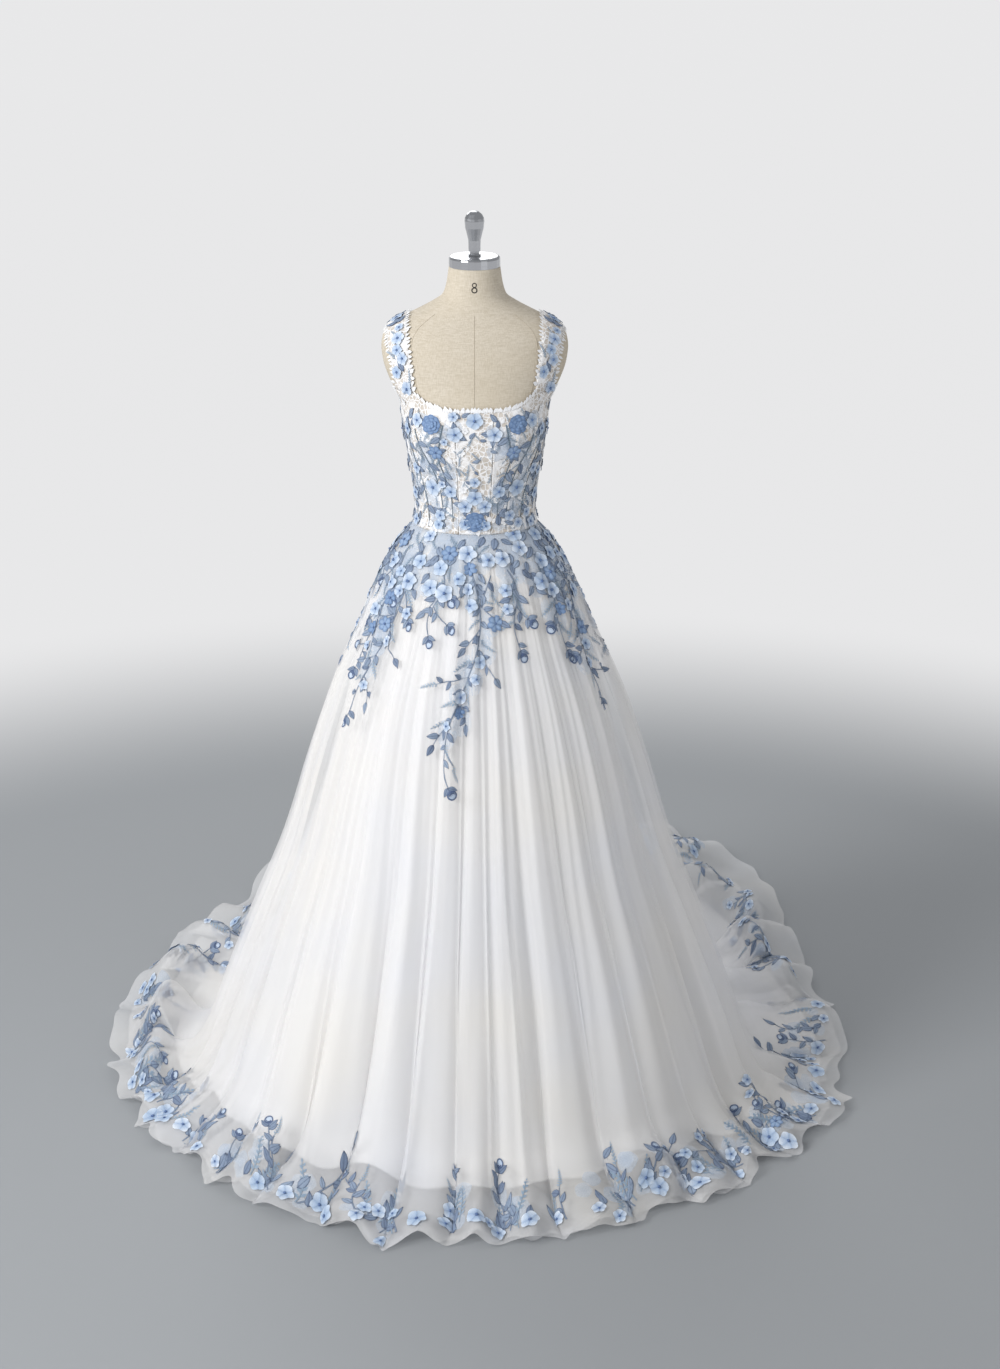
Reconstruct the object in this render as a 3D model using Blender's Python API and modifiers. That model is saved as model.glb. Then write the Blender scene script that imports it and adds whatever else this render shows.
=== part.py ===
"""Wedding dress with a tulle skirt and train, standing on a limbless dress form.

Metres, +Z up, front towards -Y. The origin lies on the floor under the form's pole.
Angles run round the body in degrees: 0 at the front, 90 at +X, 180 at the back.
"""
import math

import bmesh
import bpy
from mathutils import Matrix, Vector
from mathutils.bvhtree import BVHTree

# Driving dimensions
SEAM_GAP = 0.0003
WAIST_HEIGHT = 1.118
EASE = 0.0016
BODICE_WALL = 0.0020
TULLE_WALL = 0.0012
LINING_WALL = 0.0012
STRAP_WALL = 0.0016
STRAP_EASE = 0.0018
STRAP_FOOT = 1.365
FOLDS = 32
COLUMNS_PER_FOLD = 4
LINING_COLUMNS = 32
LINING_FOLDS = 8
LINING_CLEAR = 0.0045
LINING_TOP_CLEAR = 0.0026
LINING_FOLD_ROOM = 1.05
LINING_SOFTNESS = 0.25
LINING_FOOT_TUCK = 0.012
TRAIN_LIFT = 0.0045
TRAIN_OVERLAP = 0.025
LYING_HEIGHT = 0.03
BODICE_STEP = 5
BODICE_ROWS = 12
NECK_RADIUS = 0.0445
TORSO_TOP = 1.574
TORSO_COLUMNS = 32
POLE_RADIUS = 0.0125
BASE_RADIUS = 0.165
BOSS_HEIGHT = 0.05
BUTTONS = 9
BUTTON_RADIUS = 0.0058

# The linen body, ring by ring
TORSO_NAMES = ("height", "half_width", "front", "back")
TORSO = [
    (0.860, 0.1480, 0.093, 0.112),
    (0.920, 0.1560, 0.099, 0.119),
    (0.980, 0.1540, 0.099, 0.117),
    (1.060, 0.1300, 0.094, 0.102),
    (1.100, 0.1120, 0.091, 0.093),
    (1.145, 0.1025, 0.090, 0.088),
    (1.185, 0.1055, 0.094, 0.089),
    (1.230, 0.1130, 0.099, 0.092),
    (1.270, 0.1190, 0.104, 0.096),
    (1.310, 0.1240, 0.106, 0.099),
    (1.340, 0.1280, 0.104, 0.101),
    (1.360, 0.1400, 0.100, 0.101),
    (1.380, 0.1500, 0.096, 0.100),
    (1.410, 0.1600, 0.090, 0.097),
    (1.435, 0.1630, 0.084, 0.093),
    (1.455, 0.1600, 0.078, 0.088),
    (1.470, 0.1500, 0.071, 0.082),
    (1.482, 0.1330, 0.064, 0.075),
    (1.490, 0.1180, 0.060, 0.070),
    (1.505, 0.0880, 0.054, 0.062),
    (1.515, 0.0700, 0.051, 0.058),
    (1.525, 0.0560, 0.048, 0.054),
    (1.545, 0.0490, 0.046, 0.049),
    (TORSO_TOP, NECK_RADIUS, NECK_RADIUS, NECK_RADIUS),
]
BUST_ANGLE = 38
BUST_HEIGHT = 1.295
BUST_SPREAD = 21
BUST_RISE = 0.047
BUST_DEPTH = 0.013

# The bodice's top edge, the same on both sides: level under the straps, low under the arms
NECKLINE_NAMES = ("angle", "height")
NECKLINE = [
    (0, 1.342),
    (20, 1.343),
    (35, 1.349),
    (45, STRAP_FOOT),
    (70, STRAP_FOOT),
    (78, 1.342),
    (90, 1.334),
    (102, 1.342),
    (110, STRAP_FOOT),
    (135, STRAP_FOOT),
    (150, 1.336),
    (165, 1.324),
    (180, 1.320),
]
BODICE_PANELS = {
    "bodice_front_center": (-15, 15),
    "bodice_front_right": (15, 70),
    "bodice_side_right": (70, 110),
    "bodice_back_right": (110, 180),
    "bodice_front_left": (-70, -15),
    "bodice_side_left": (-110, -70),
    "bodice_back_left": (-180, -110),
}
BONES = (15, 33, 54, 86, 126)
BONE_WIDTH = 2.6
BONE_RISE = 0.0008
BONE_TOP = 1.33

# Strap edges as distances from the middle, at the strap's foot and on the shoulder
STRAP_INNER = (0.1045, 0.1160)
STRAP_OUTER = (0.1365, 0.1510)
STRAP_SHOULDER = 1.475
WIDEST_SHOULDER = 1.435
STRAP_ROWS = 16
STRAP_STRIPS = 3

# The tulle skirt from the waist to the hem. fold is how far a fold stands out, lean is how far it
# points up, and reach is how far the row has gone from the skirt's foot to the hem.
SKIRT_NAMES = ("height", "front", "side", "back", "fold", "lean", "reach")
SKIRT = [
    (1.117, 0.000, 0.000, 0.000, 0.0000, 5, 0),
    (1.080, 0.124, 0.139, 0.126, 0.0020, 8, 0),
    (1.015, 0.160, 0.174, 0.164, 0.0050, 10, 0),
    (0.930, 0.195, 0.208, 0.206, 0.0090, 10, 0),
    (0.820, 0.234, 0.255, 0.258, 0.0130, 10, 0),
    (0.680, 0.280, 0.302, 0.320, 0.0170, 10, 0),
    (0.530, 0.328, 0.345, 0.384, 0.0200, 10, 0),
    (0.380, 0.376, 0.401, 0.454, 0.0225, 10, 0),
    (0.240, 0.424, 0.452, 0.532, 0.0240, 10, 0),
    (0.110, 0.468, 0.501, 0.640, 0.0230, 15, 0),
    (0.022, 0.512, 0.553, 0.790, 0.0170, 60, 0),
    (0.000, 0.512, 0.553, 0.790, 0.0110, 90, 0.5),
    (0.000, 0.512, 0.553, 0.790, 0.0100, 90, 1),
]
# How far the tulle reaches over the floor, and how far the underskirt does
HEM_NAMES = ("angle", "tulle", "lining", "lining_height")
HEM = [
    (-180, 1.40, 1.14, 0.000),
    (-160, 1.20, 0.98, 0.000),
    (-147, 1.00, 0.82, 0.000),
    (-130, 0.88, 0.74, 0.000),
    (-115, 0.79, 0.66, 0.000),
    (-95, 0.71, 0.57, 0.004),
    (-73, 0.635, 0.495, 0.030),
    (-38, 0.61, 0.475, 0.045),
    (0, 0.61, 0.470, 0.045),
    (38, 0.61, 0.475, 0.045),
    (56, 0.62, 0.485, 0.035),
    (68, 0.65, 0.530, 0.006),
    (78, 0.69, 0.610, 0.000),
    (104, 0.745, 0.69, 0.000),
    (125, 0.84, 0.76, 0.000),
    (140, 1.02, 0.88, 0.000),
    (153, 1.26, 1.03, 0.000),
    (165, 1.38, 1.11, 0.000),
    (180, 1.40, 1.14, 0.000),
]
TULLE_GORES = {
    "skirt_tulle_front": (-20, 20),
    "skirt_tulle_side_right": (20, 44),
    "skirt_tulle_back_right": (44, 64),
    "skirt_tulle_side_left": (-44, -20),
    "skirt_tulle_back_left": (-64, -44),
}
LINING_PANELS = {
    "skirt_lining_front": (-6, 6),
    "skirt_lining_back_right": (6, 16),
    "skirt_lining_back_left": (-16, -6),
}
LINING_TOP_SHARE = 0.15
LINING_FOOT_HEIGHT = 0.010

# Thick applique on the tulle: sprays that hang from the waist and sprays that stand on the hem
# Each waist spray: the angle of its middle, the height of its tip, and half of its width in degrees
WAIST_SPRAYS = [
    (0, 0.68, 10),
    (-48, 0.76, 9),
    (24, 0.93, 9),
    (58, 0.79, 9),
    (-22, 0.95, 9),
    (-95, 0.82, 12),
    (95, 0.82, 12),
    (-135, 0.88, 12),
    (135, 0.88, 12),
    (180, 0.74, 12),
]
YOKE_FOOT = 0.97
SPRAY_FADE = 0.06
SPRAY_RISE = 0.0012
HEM_SPRAYS = 20
HEM_SPRAY_TIP = 0.18
HEM_SPRAY_HALF_ANGLE = 5

# Sewn-on flowers: each one's name, angle round the body, height, and radius over the petals
BODICE_FLOWERS = [
    ("flower_rose_neck_left", -33, 1.318, 0.017),
    ("flower_rose_neck_right", 33, 1.318, 0.017),
    ("flower_rose_waist", 0, 1.142, 0.018),
    ("flower_bust_left", -56, 1.285, 0.018),
    ("flower_bust_right", 56, 1.285, 0.018),
    ("flower_rib_left", -40, 1.200, 0.016),
    ("flower_rib_right", 40, 1.200, 0.016),
    ("flower_back_left", -142, 1.245, 0.018),
    ("flower_back_right", 142, 1.245, 0.018),
]
HEM_FLOWERS = 14
HEM_FLOWER_ROW = 11.35
HEM_FLOWER_RADIUS = 0.021
WAIST_FLOWER_CRESTS = (-4, 4)
WAIST_FLOWER_ROW = 1.7
WAIST_FLOWER_RADIUS = 0.017
FLOWER_GAP = 0.0004
ROSE_RISE = 0.009
BODICE_FLOWER_RISE = 0.006
SKIRT_FLOWER_RISE = 0.007
FLOWER_PETALS = 5
POINTS_PER_PETAL = 3

COLOURS = {
    "linen": ((0.58, 0.50, 0.40), 0.85, 0.0),
    "chrome": ((0.75, 0.75, 0.76), 0.15, 1.0),
    "stand": ((0.60, 0.60, 0.61), 0.30, 1.0),
    "bodice": ((0.84, 0.79, 0.74), 0.75, 0.0),
    "tulle": ((0.90, 0.92, 0.94), 0.80, 0.0),
    "lining": ((0.88, 0.88, 0.87), 0.60, 0.0),
    "petal": ((0.55, 0.70, 0.88), 0.70, 0.0),
    "rose": ((0.12, 0.20, 0.42), 0.60, 0.0),
    "button": ((0.86, 0.84, 0.82), 0.45, 0.0),
}


def clear_scene():
    for old in list(bpy.data.objects):
        bpy.data.objects.remove(old, do_unlink=True)


def collection_named(name):
    made = bpy.data.collections.new(name)
    bpy.context.scene.collection.children.link(made)
    return made


def material_named(name, finish):
    colour, roughness, metallic = COLOURS[finish]
    made = bpy.data.materials.new(name + "_material")
    made.use_nodes = True
    shader = made.node_tree.nodes["Principled BSDF"]
    shader.inputs["Base Color"].default_value = (*colour, 1.0)
    shader.inputs["Roughness"].default_value = roughness
    shader.inputs["Metallic"].default_value = metallic
    return made


def place(name, mesh, finish):
    """An object made from a mesh, in the gown's collection, with its own material."""
    made = bpy.data.objects.new(name, mesh)
    mesh.materials.append(material_named(name, finish))
    bpy.data.collections["wedding_dress"].objects.link(made)
    return made


def place_bmesh(name, bm, finish):
    if bm.calc_volume(signed=True) < 0:
        bmesh.ops.reverse_faces(bm, faces=bm.faces)
    mesh = bpy.data.meshes.new(name)
    bm.to_mesh(mesh)
    bm.free()
    mesh.shade_smooth()
    mesh.set_sharp_from_angle(angle=math.radians(40))
    return place(name, mesh, finish)


def read_table(table, names, column, at):
    """A smooth curve through one column of a table, read at a value of its first column."""
    keys = [row[0] for row in table]
    values = [row[names.index(column)] for row in table]
    return smooth_curve(keys, values, at)


def smooth_curve(keys, values, at):
    """A cubic through the points that never overshoots them."""
    if keys[0] > keys[-1]:
        keys = keys[::-1]
        values = values[::-1]
    at = min(max(at, keys[0]), keys[-1])
    last = len(keys) - 2
    k = next((i for i in range(last + 1) if at <= keys[i + 1]), last)
    slopes = [0.0, 0.0]
    steps = [(values[i + 1] - values[i]) / (keys[i + 1] - keys[i]) for i in range(last + 1)]
    for side, i in enumerate((k, k + 1)):
        before = steps[max(i - 1, 0)]
        after = steps[min(i, last)]
        if before * after > 0:
            slopes[side] = 2 * before * after / (before + after)
    width = keys[k + 1] - keys[k]
    s = (at - keys[k]) / width
    start = (1 + 2 * s) * (1 - s) ** 2 * values[k] + s * (1 - s) ** 2 * width * slopes[0]
    end = s * s * (3 - 2 * s) * values[k + 1] - s * s * (1 - s) * width * slopes[1]
    return start + end


def smooth_step(low, high, at):
    share = min(max((at - low) / (high - low), 0.0), 1.0)
    return share * share * (3 - 2 * share)


def angle_between(a, b):
    """The smallest difference between two angles in degrees."""
    return abs((a - b + 180) % 360 - 180)


def oval(angle, half_width, front, back, height):
    """A point on a ring whose front and back halves are two half ellipses."""
    turn = math.radians(angle)
    depth = front if math.cos(turn) > 0 else back
    return Vector((half_width * math.sin(turn), -depth * math.cos(turn), height))


def body(angle, height, out=0.0):
    """A point on the form's skin, or a distance out from it."""
    size = {c: read_table(TORSO, TORSO_NAMES, c, height) for c in TORSO_NAMES[1:]}
    point = oval(angle, size["half_width"], size["front"], size["back"], height)
    turn = math.radians(angle)
    depth = size["front"] if math.cos(turn) > 0 else size["back"]
    outward = Vector((math.sin(turn) / size["half_width"], -math.cos(turn) / depth, 0)).normalized()
    side = (abs(angle) - BUST_ANGLE) / BUST_SPREAD
    rise = (height - BUST_HEIGHT) / BUST_RISE
    bust = BUST_DEPTH * math.exp(-side * side - rise * rise)
    return point + outward * (out + bust)


def grid_sheet(columns, rows, place_point):
    """An open grid of triangles, each point numbered, with its rows and columns placed by a rule."""
    bm = bmesh.new()
    bmesh.ops.create_grid(bm, x_segments=columns, y_segments=rows, size=0.5)
    number = bm.verts.layers.int.new("number")
    for vert in bm.verts:
        column = round((vert.co.x + 0.5) * columns)
        row = round((vert.co.y + 0.5) * rows)
        vert[number] = row * (columns + 1) + column
        vert.co = place_point(row, column)
    bmesh.ops.triangulate(bm, faces=bm.faces, quad_method="FIXED")
    return bm, number


def cloth_wall(name, columns, rows, inside, outside, finish):
    """A closed cloth wall: a grid on its inner points, extruded to its outer points."""
    bm, number = grid_sheet(columns, rows, inside)
    raised = bmesh.ops.extrude_face_region(bm, geom=bm.faces[:], use_keep_orig=True)["geom"]
    for vert in (g for g in raised if isinstance(g, bmesh.types.BMVert)):
        row, column = divmod(vert[number], columns + 1)
        vert.co = outside(row, column)
    bmesh.ops.recalc_face_normals(bm, faces=bm.faces)
    return place_bmesh(name, bm, finish)


def seam_inset(surface, angle, row, last_row):
    """Half of a seam's gap as an angle, measured square to a seam that may run askew."""
    turn_step = 0.1
    across = surface(angle + turn_step, row) - surface(angle - turn_step, row)
    down = surface(angle, min(row + 1, last_row)) - surface(angle, max(row - 1, 0))
    square = across.length * math.sin(across.angle(down))
    return SEAM_GAP / 2 * 2 * turn_step / square


# The dress form
def make_torso():
    heights = [row[0] for row in TORSO]
    bm = bmesh.new()
    rings = []
    for height in heights:
        ring = [bm.verts.new(body(360 * k / TORSO_COLUMNS - 180, height)) for k in range(TORSO_COLUMNS)]
        rings.append(ring)
    for low, high in zip(rings, rings[1:]):
        for k in range(TORSO_COLUMNS):
            after = (k + 1) % TORSO_COLUMNS
            bm.faces.new((low[k], low[after], high[after], high[k]))
    bm.faces.new(rings[0][::-1])
    bm.faces.new(rings[-1])
    bmesh.ops.recalc_face_normals(bm, faces=bm.faces)
    place_bmesh("form_torso", bm, "linen")


def turned(name, profile, finish, steps=24):
    """A solid turned round the form's axis from a profile that runs down its outer side."""
    bm = bmesh.new()
    verts = [bm.verts.new((radius, 0, height)) for radius, height in profile]
    for above, below in zip(verts, verts[1:]):
        bm.edges.new((above, below))
    mesh = bpy.data.meshes.new(name)
    bm.to_mesh(mesh)
    bm.free()
    made = place(name, mesh, finish)
    screw = made.modifiers.new("turn", "SCREW")
    screw.steps = steps
    screw.render_steps = steps
    screw.use_merge_vertices = True
    screw.merge_threshold = 0.00001
    screw.use_smooth_shade = True
    return made


def arc(centre_radius, centre_height, radius, start, end, steps):
    """Points of an arc in a turned profile; angles are measured up from the outward direction."""
    points = []
    for k in range(steps + 1):
        turn = math.radians(start + (end - start) * k / steps)
        points.append((centre_radius + radius * math.cos(turn), centre_height + radius * math.sin(turn)))
    return points


def make_neck_fittings():
    cap_low = TORSO_TOP + SEAM_GAP
    cap_high = 1.592
    edge = 0.004
    profile = [(0, cap_high)]
    profile += arc(NECK_RADIUS - edge, cap_high - edge, edge, 90, 0, 3)
    profile += [(NECK_RADIUS, cap_low), (0, cap_low)]
    turned("neck_cap", profile, "chrome", 24)
    foot = cap_high + SEAM_GAP
    bulb_radius = 0.0172
    bulb_height = 1.6523
    profile = [(0, 1.670)]
    profile += [(bulb_radius * math.sin(math.radians(a)), bulb_height + 0.0177 * math.cos(math.radians(a)))
                for a in (25, 50, 75, 90)]
    profile += [(0.0160, 1.640), (0.0132, 1.629), (0.0108, 1.619), (0.0103, 1.600)]
    profile += [(0.0080, 1.600), (0.0080, 1.5955), (0.0110, 1.5955), (0.0110, foot), (0, foot)]
    turned("neck_knob", profile, "chrome", 16)


def make_stand():
    edge = 0.006
    thick = 0.018
    boss_radius = 0.030
    profile = [(0, BOSS_HEIGHT)]
    profile += arc(boss_radius - edge, BOSS_HEIGHT - edge, edge, 90, 0, 2)
    profile += [(boss_radius, thick + 0.004), (boss_radius + 0.004, thick)]
    profile += arc(BASE_RADIUS - edge, thick - edge, edge, 90, 0, 2)
    profile += [(BASE_RADIUS, 0), (0, 0)]
    turned("stand_base", profile, "stand", 24)
    low = BOSS_HEIGHT + SEAM_GAP
    high = TORSO[0][0] - SEAM_GAP
    bm = bmesh.new()
    bmesh.ops.create_cone(bm, cap_ends=True, segments=16, radius1=POLE_RADIUS, radius2=POLE_RADIUS,
                          depth=high - low)
    bmesh.ops.translate(bm, verts=bm.verts, vec=(0, 0, (low + high) / 2))
    place_bmesh("stand_pole", bm, "stand")


# The bodice
def neckline(angle):
    return read_table(NECKLINE, NECKLINE_NAMES, "height", abs(angle))


def bodice_relief(angle, height):
    """How far the boning stands out of the bodice."""
    nearest = min(abs(abs(angle) - bone) for bone in BONES)
    return BONE_RISE * math.exp(-(nearest / BONE_WIDTH) ** 2) * smooth_step(BONE_TOP, BONE_TOP - 0.03, height)


def make_bodice():
    for name, (first, last) in BODICE_PANELS.items():
        columns = (last - first) // BODICE_STEP

        def spot(row, column, out, first=first, last=last, columns=columns):
            angle = first + (last - first) * column / columns
            height = WAIST_HEIGHT + (neckline(angle) - WAIST_HEIGHT) * row / BODICE_ROWS
            inset = math.degrees(SEAM_GAP / 2 / body(angle, height).to_2d().length)
            angle += inset * ((column == 0) - (column == columns))
            return body(angle, height, out + (bodice_relief(angle, height) if out > EASE else 0))

        cloth_wall(
            name, columns, BODICE_ROWS,
            lambda row, column: spot(row, column, EASE),
            lambda row, column: spot(row, column, EASE + BODICE_WALL),
            "bodice",
        )


def strap_point(across, along, out=0.0):
    """A point on a right-hand strap: across 0 to 1 from the neck out, along -1 to 1 front to back."""
    foot = STRAP_INNER[0] + (STRAP_OUTER[0] - STRAP_INNER[0]) * across
    shoulder = STRAP_INNER[1] + (STRAP_OUTER[1] - STRAP_INNER[1]) * across
    start = STRAP_FOOT + SEAM_GAP

    def side(height):
        return foot + (shoulder - foot) * smooth_step(start, STRAP_SHOULDER, height)

    low = start
    high = TORSO_TOP
    for _ in range(40):
        middle = (low + high) / 2
        if middle < WIDEST_SHOULDER or read_table(TORSO, TORSO_NAMES, "half_width", middle) > side(middle):
            low = middle
        else:
            high = middle
    height = low - (low - start) * along * along
    half_width = read_table(TORSO, TORSO_NAMES, "half_width", height)
    depth = read_table(TORSO, TORSO_NAMES, "front" if along < 0 else "back", height)
    share = max(1 - (side(height) / half_width) ** 2, 0.0)
    point = Vector((side(height), math.copysign(depth * math.sqrt(share), along), height))
    if out:
        step = 0.02
        over = strap_point(across, min(along + step, 1)) - strap_point(across, max(along - step, -1))
        aside = strap_point(min(across + step, 1), along) - strap_point(max(across - step, 0), along)
        outward = -over.cross(aside).normalized()
        if abs(along) == 1:
            outward.z = 0
            outward /= outward.length_squared
        point += outward * out
    return point


def make_straps():
    for name, side in (("strap_right", 1), ("strap_left", -1)):
        def spot(row, column, out, side=side):
            point = strap_point(column / STRAP_STRIPS, 2 * row / STRAP_ROWS - 1, out)
            return Vector((side * point.x, point.y, point.z))

        cloth_wall(
            name, STRAP_STRIPS, STRAP_ROWS,
            lambda row, column: spot(row, column, STRAP_EASE),
            lambda row, column: spot(row, column, STRAP_EASE + STRAP_WALL),
            "bodice",
        )


def make_placket():
    half_angle = 3.4
    low = WAIST_HEIGHT + 0.004
    high = 1.316
    rest = EASE + BODICE_WALL + SEAM_GAP * 2
    thick = 0.001

    def spot(row, column, out):
        angle = 180 + half_angle * (column - 1)
        angle = angle - 360 if angle > 180 else angle
        return body(angle, low + (high - low) * row / BODICE_ROWS, out)

    cloth_wall(
        "back_placket", 2, BODICE_ROWS,
        lambda row, column: spot(row, column, rest),
        lambda row, column: spot(row, column, rest + thick),
        "bodice",
    )
    for number in range(BUTTONS):
        height = low + (high - low) * (number + 0.5) / BUTTONS
        dome = BUTTON_RADIUS * 0.6
        bm = bmesh.new()
        bmesh.ops.create_uvsphere(bm, u_segments=8, v_segments=4, radius=BUTTON_RADIUS)
        bmesh.ops.scale(bm, verts=bm.verts, vec=(1, 1, 0.6))
        bmesh.ops.rotate(bm, verts=bm.verts, matrix=Vector((0, 0, 1)).rotation_difference(
            Vector((0, 1, 0))).to_matrix())
        seat = max(body(180, height + step, rest + thick).y for step in (-0.004, 0, 0.004))
        bmesh.ops.translate(bm, verts=bm.verts, vec=(0, seat + dome + SEAM_GAP, height))
        place_bmesh(f"back_button_{number + 1}", bm, "button")


# The skirt
def skirt_value(column, row):
    """A column of the skirt's table, read between its rows."""
    values = [line[SKIRT_NAMES.index(column)] for line in SKIRT]
    return smooth_curve(list(range(len(values))), values, row)


def hem_value(column, angle):
    return read_table(HEM, HEM_NAMES, column, (angle + 180) % 360 - 180 if angle < 180 else 180)


def facing(point):
    """The direction of a point round the pole, in degrees from the front."""
    return math.degrees(math.atan2(point.x, -point.y))


def hem_point(layer, foot, height):
    """The point of a layer's hem that lies straight out from a point of the skirt's foot."""
    outward = Vector((foot.x, foot.y, 0)).normalized()
    hem = outward * hem_value(layer, facing(foot))
    hem.z = height
    return hem


def fold_phase(angle):
    """Turns of folding from the front to an angle; the folds are unevenly wide."""
    turn = math.radians(angle)
    uneven = 0.12 * math.sin(3 * turn) + 0.14 * math.sin(5 * turn) + 0.07 * math.sin(9 * turn)
    return FOLDS * angle / 360 + uneven


def fold_angle(phase):
    """The angle at which the folds have reached a phase."""
    low = -200.0
    high = 200.0
    for _ in range(40):
        middle = (low + high) / 2
        if fold_phase(middle) < phase:
            low = middle
        else:
            high = middle
    return (low + high) / 2


def fold_depth(angle):
    turn = math.radians(angle)
    return 0.78 + 0.14 * math.sin(6 * turn + 0.6) + 0.08 * math.cos(11 * turn)


def skirt_ring(angle, row):
    """A point of the unfolded skirt."""
    if row == 0:
        return body(angle, WAIST_HEIGHT - SEAM_GAP, EASE)
    size = {c: skirt_value(c, row) for c in ("front", "side", "back")}
    if row < 1:
        top = body(angle, WAIST_HEIGHT - SEAM_GAP, EASE)
        return top.lerp(skirt_ring(angle, 1), row)
    point = oval(angle, size["side"], size["front"], size["back"], skirt_value("height", row))
    reach = skirt_value("reach", row)
    if reach > 0:
        point = point.lerp(hem_point("tulle", point, point.z), reach)
    return point


def train_rest(point):
    """The height of what the tulle lies on: the underskirt on the floor, or the floor."""
    angle = facing(point)
    spread = smooth_step(LYING_HEIGHT, 0.0, hem_value("lining_height", angle))
    past = point.to_2d().length - hem_value("lining", angle) - TRAIN_OVERLAP
    return TRAIN_LIFT * spread * smooth_step(TRAIN_OVERLAP, 0.0, past)


def tulle_point(angle, row):
    """A point on the tulle's inner side."""
    point = skirt_ring(angle, row)
    lean = math.radians(skirt_value("lean", row))
    fold = skirt_value("fold", row) * fold_depth(angle)
    wave = math.cos(2 * math.pi * fold_phase(angle))
    level = math.sin(lean) ** 2
    push = fold * (wave * (1 - level) + (0.5 + 0.5 * wave) * level)
    outward = Vector((point.x, point.y, 0)).normalized()
    point += (outward * math.cos(lean) + Vector((0, 0, math.sin(lean)))) * push
    rest = train_rest(point)
    point.z = max(point.z, rest + (push if level > 0.9 else 0))
    return point


def tulle_normal(angle, row):
    turn_step = 0.25
    last = len(SKIRT) - 1
    across = tulle_point(angle + turn_step, row) - tulle_point(angle - turn_step, row)
    down = tulle_point(angle, min(row + 1, last)) - tulle_point(angle, max(row - 1, 0))
    normal = down.cross(across).normalized()
    if row == 0:
        normal.z = 0
        normal.normalize()
    return normal


def tulle_relief(angle, row, height):
    """How far the thick applique stands out of the tulle."""
    hanging = 0.0
    for spray, tip, half_angle in WAIST_SPRAYS:
        away = angle_between(angle, spray) / half_angle
        narrow = smooth_step(tip, YOKE_FOOT, height)
        if away < 0.25 + 0.75 * narrow:
            hanging = max(hanging, smooth_step(tip, tip + SPRAY_FADE, height))
    yoke = smooth_step(YOKE_FOOT, YOKE_FOOT + SPRAY_FADE, height)
    spacing = 360 / HEM_SPRAYS
    away = abs((angle + spacing / 2) % spacing - spacing / 2) / HEM_SPRAY_HALF_ANGLE
    standing = 0.0
    if away < 1:
        standing = smooth_step(HEM_SPRAY_TIP, HEM_SPRAY_TIP - 0.10, height + 0.08 * away)
    return SPRAY_RISE * max(hanging, yoke, standing) * min(row, 1)


def make_tulle():
    rows = len(SKIRT) - 1
    for name, (first, last) in TULLE_GORES.items():
        columns = last - first

        def spot(row, column, out, first=first, columns=columns):
            angle = fold_angle((first + column) / COLUMNS_PER_FOLD)
            if column in (0, columns):
                inset = seam_inset(tulle_point, angle, row, rows)
                angle += inset if column == 0 else -inset
            point = tulle_point(angle, row)
            if out:
                point += tulle_normal(angle, row) * (TULLE_WALL + tulle_relief(angle, row, point.z))
            return point

        cloth_wall(
            name, columns, rows,
            lambda row, column: spot(row, column, False),
            lambda row, column: spot(row, column, True),
            "tulle",
        )


def lining_point(angle, row):
    """A point on the underskirt's inner side; its last two rows lie on the floor or hang just off it."""
    last = len(SKIRT) - 2
    if row <= last - 2:
        ring = row if row > 0 else LINING_TOP_SHARE
        point = skirt_ring(angle, ring)
        outward = Vector((point.x, point.y, 0)).normalized()
        fold = skirt_value("fold", ring)
        soft = LINING_SOFTNESS * fold * math.cos(math.radians(LINING_FOLDS * angle))
        clear = LINING_CLEAR if row > 0 else LINING_TOP_CLEAR
        return point - outward * (fold * LINING_FOLD_ROOM + clear - min(soft, 0))
    above = lining_point(angle, last - 2)
    foot = skirt_ring(angle, last - 1)
    height = hem_value("lining_height", facing(foot))
    hem = hem_point("lining", foot, height)
    if row == last:
        return hem
    spread = smooth_step(LYING_HEIGHT, 0.0, height)
    outward = Vector((foot.x, foot.y, 0)).normalized()
    foot -= outward * (skirt_value("fold", last - 1) + LINING_CLEAR + LINING_FOOT_TUCK)
    foot.z = LINING_FOOT_HEIGHT
    return above.lerp(hem, 0.5).lerp(foot, spread)


def lining_normal(angle, row):
    last = len(SKIRT) - 2
    across = lining_point(angle + 0.5, row) - lining_point(angle - 0.5, row)
    down = lining_point(angle, min(row + 1, last)) - lining_point(angle, max(row - 1, 0))
    if row == last and lining_point(angle, row).z < 0.001:
        return Vector((0, 0, 1))
    return down.cross(across).normalized()


def make_lining():
    rows = len(SKIRT) - 2
    for name, (first, last) in LINING_PANELS.items():
        columns = last - first

        def spot(row, column, out, first=first, columns=columns):
            angle = 360 * (first + column) / LINING_COLUMNS
            inset = math.degrees(SEAM_GAP / 2 / lining_point(angle, row).to_2d().length)
            angle += inset * ((column == 0) - (column == columns))
            point = lining_point(angle, row)
            if out:
                point += lining_normal(angle, row) * LINING_WALL
            return point

        cloth_wall(
            name, columns, rows,
            lambda row, column: spot(row, column, False),
            lambda row, column: spot(row, column, True),
            "lining",
        )


# The sewn-on flowers
def petal_edge(turn):
    """The scalloped edge of a flower, as a share of its radius."""
    return 0.80 + 0.20 * abs(math.cos(turn * FLOWER_PETALS / 2))


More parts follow.
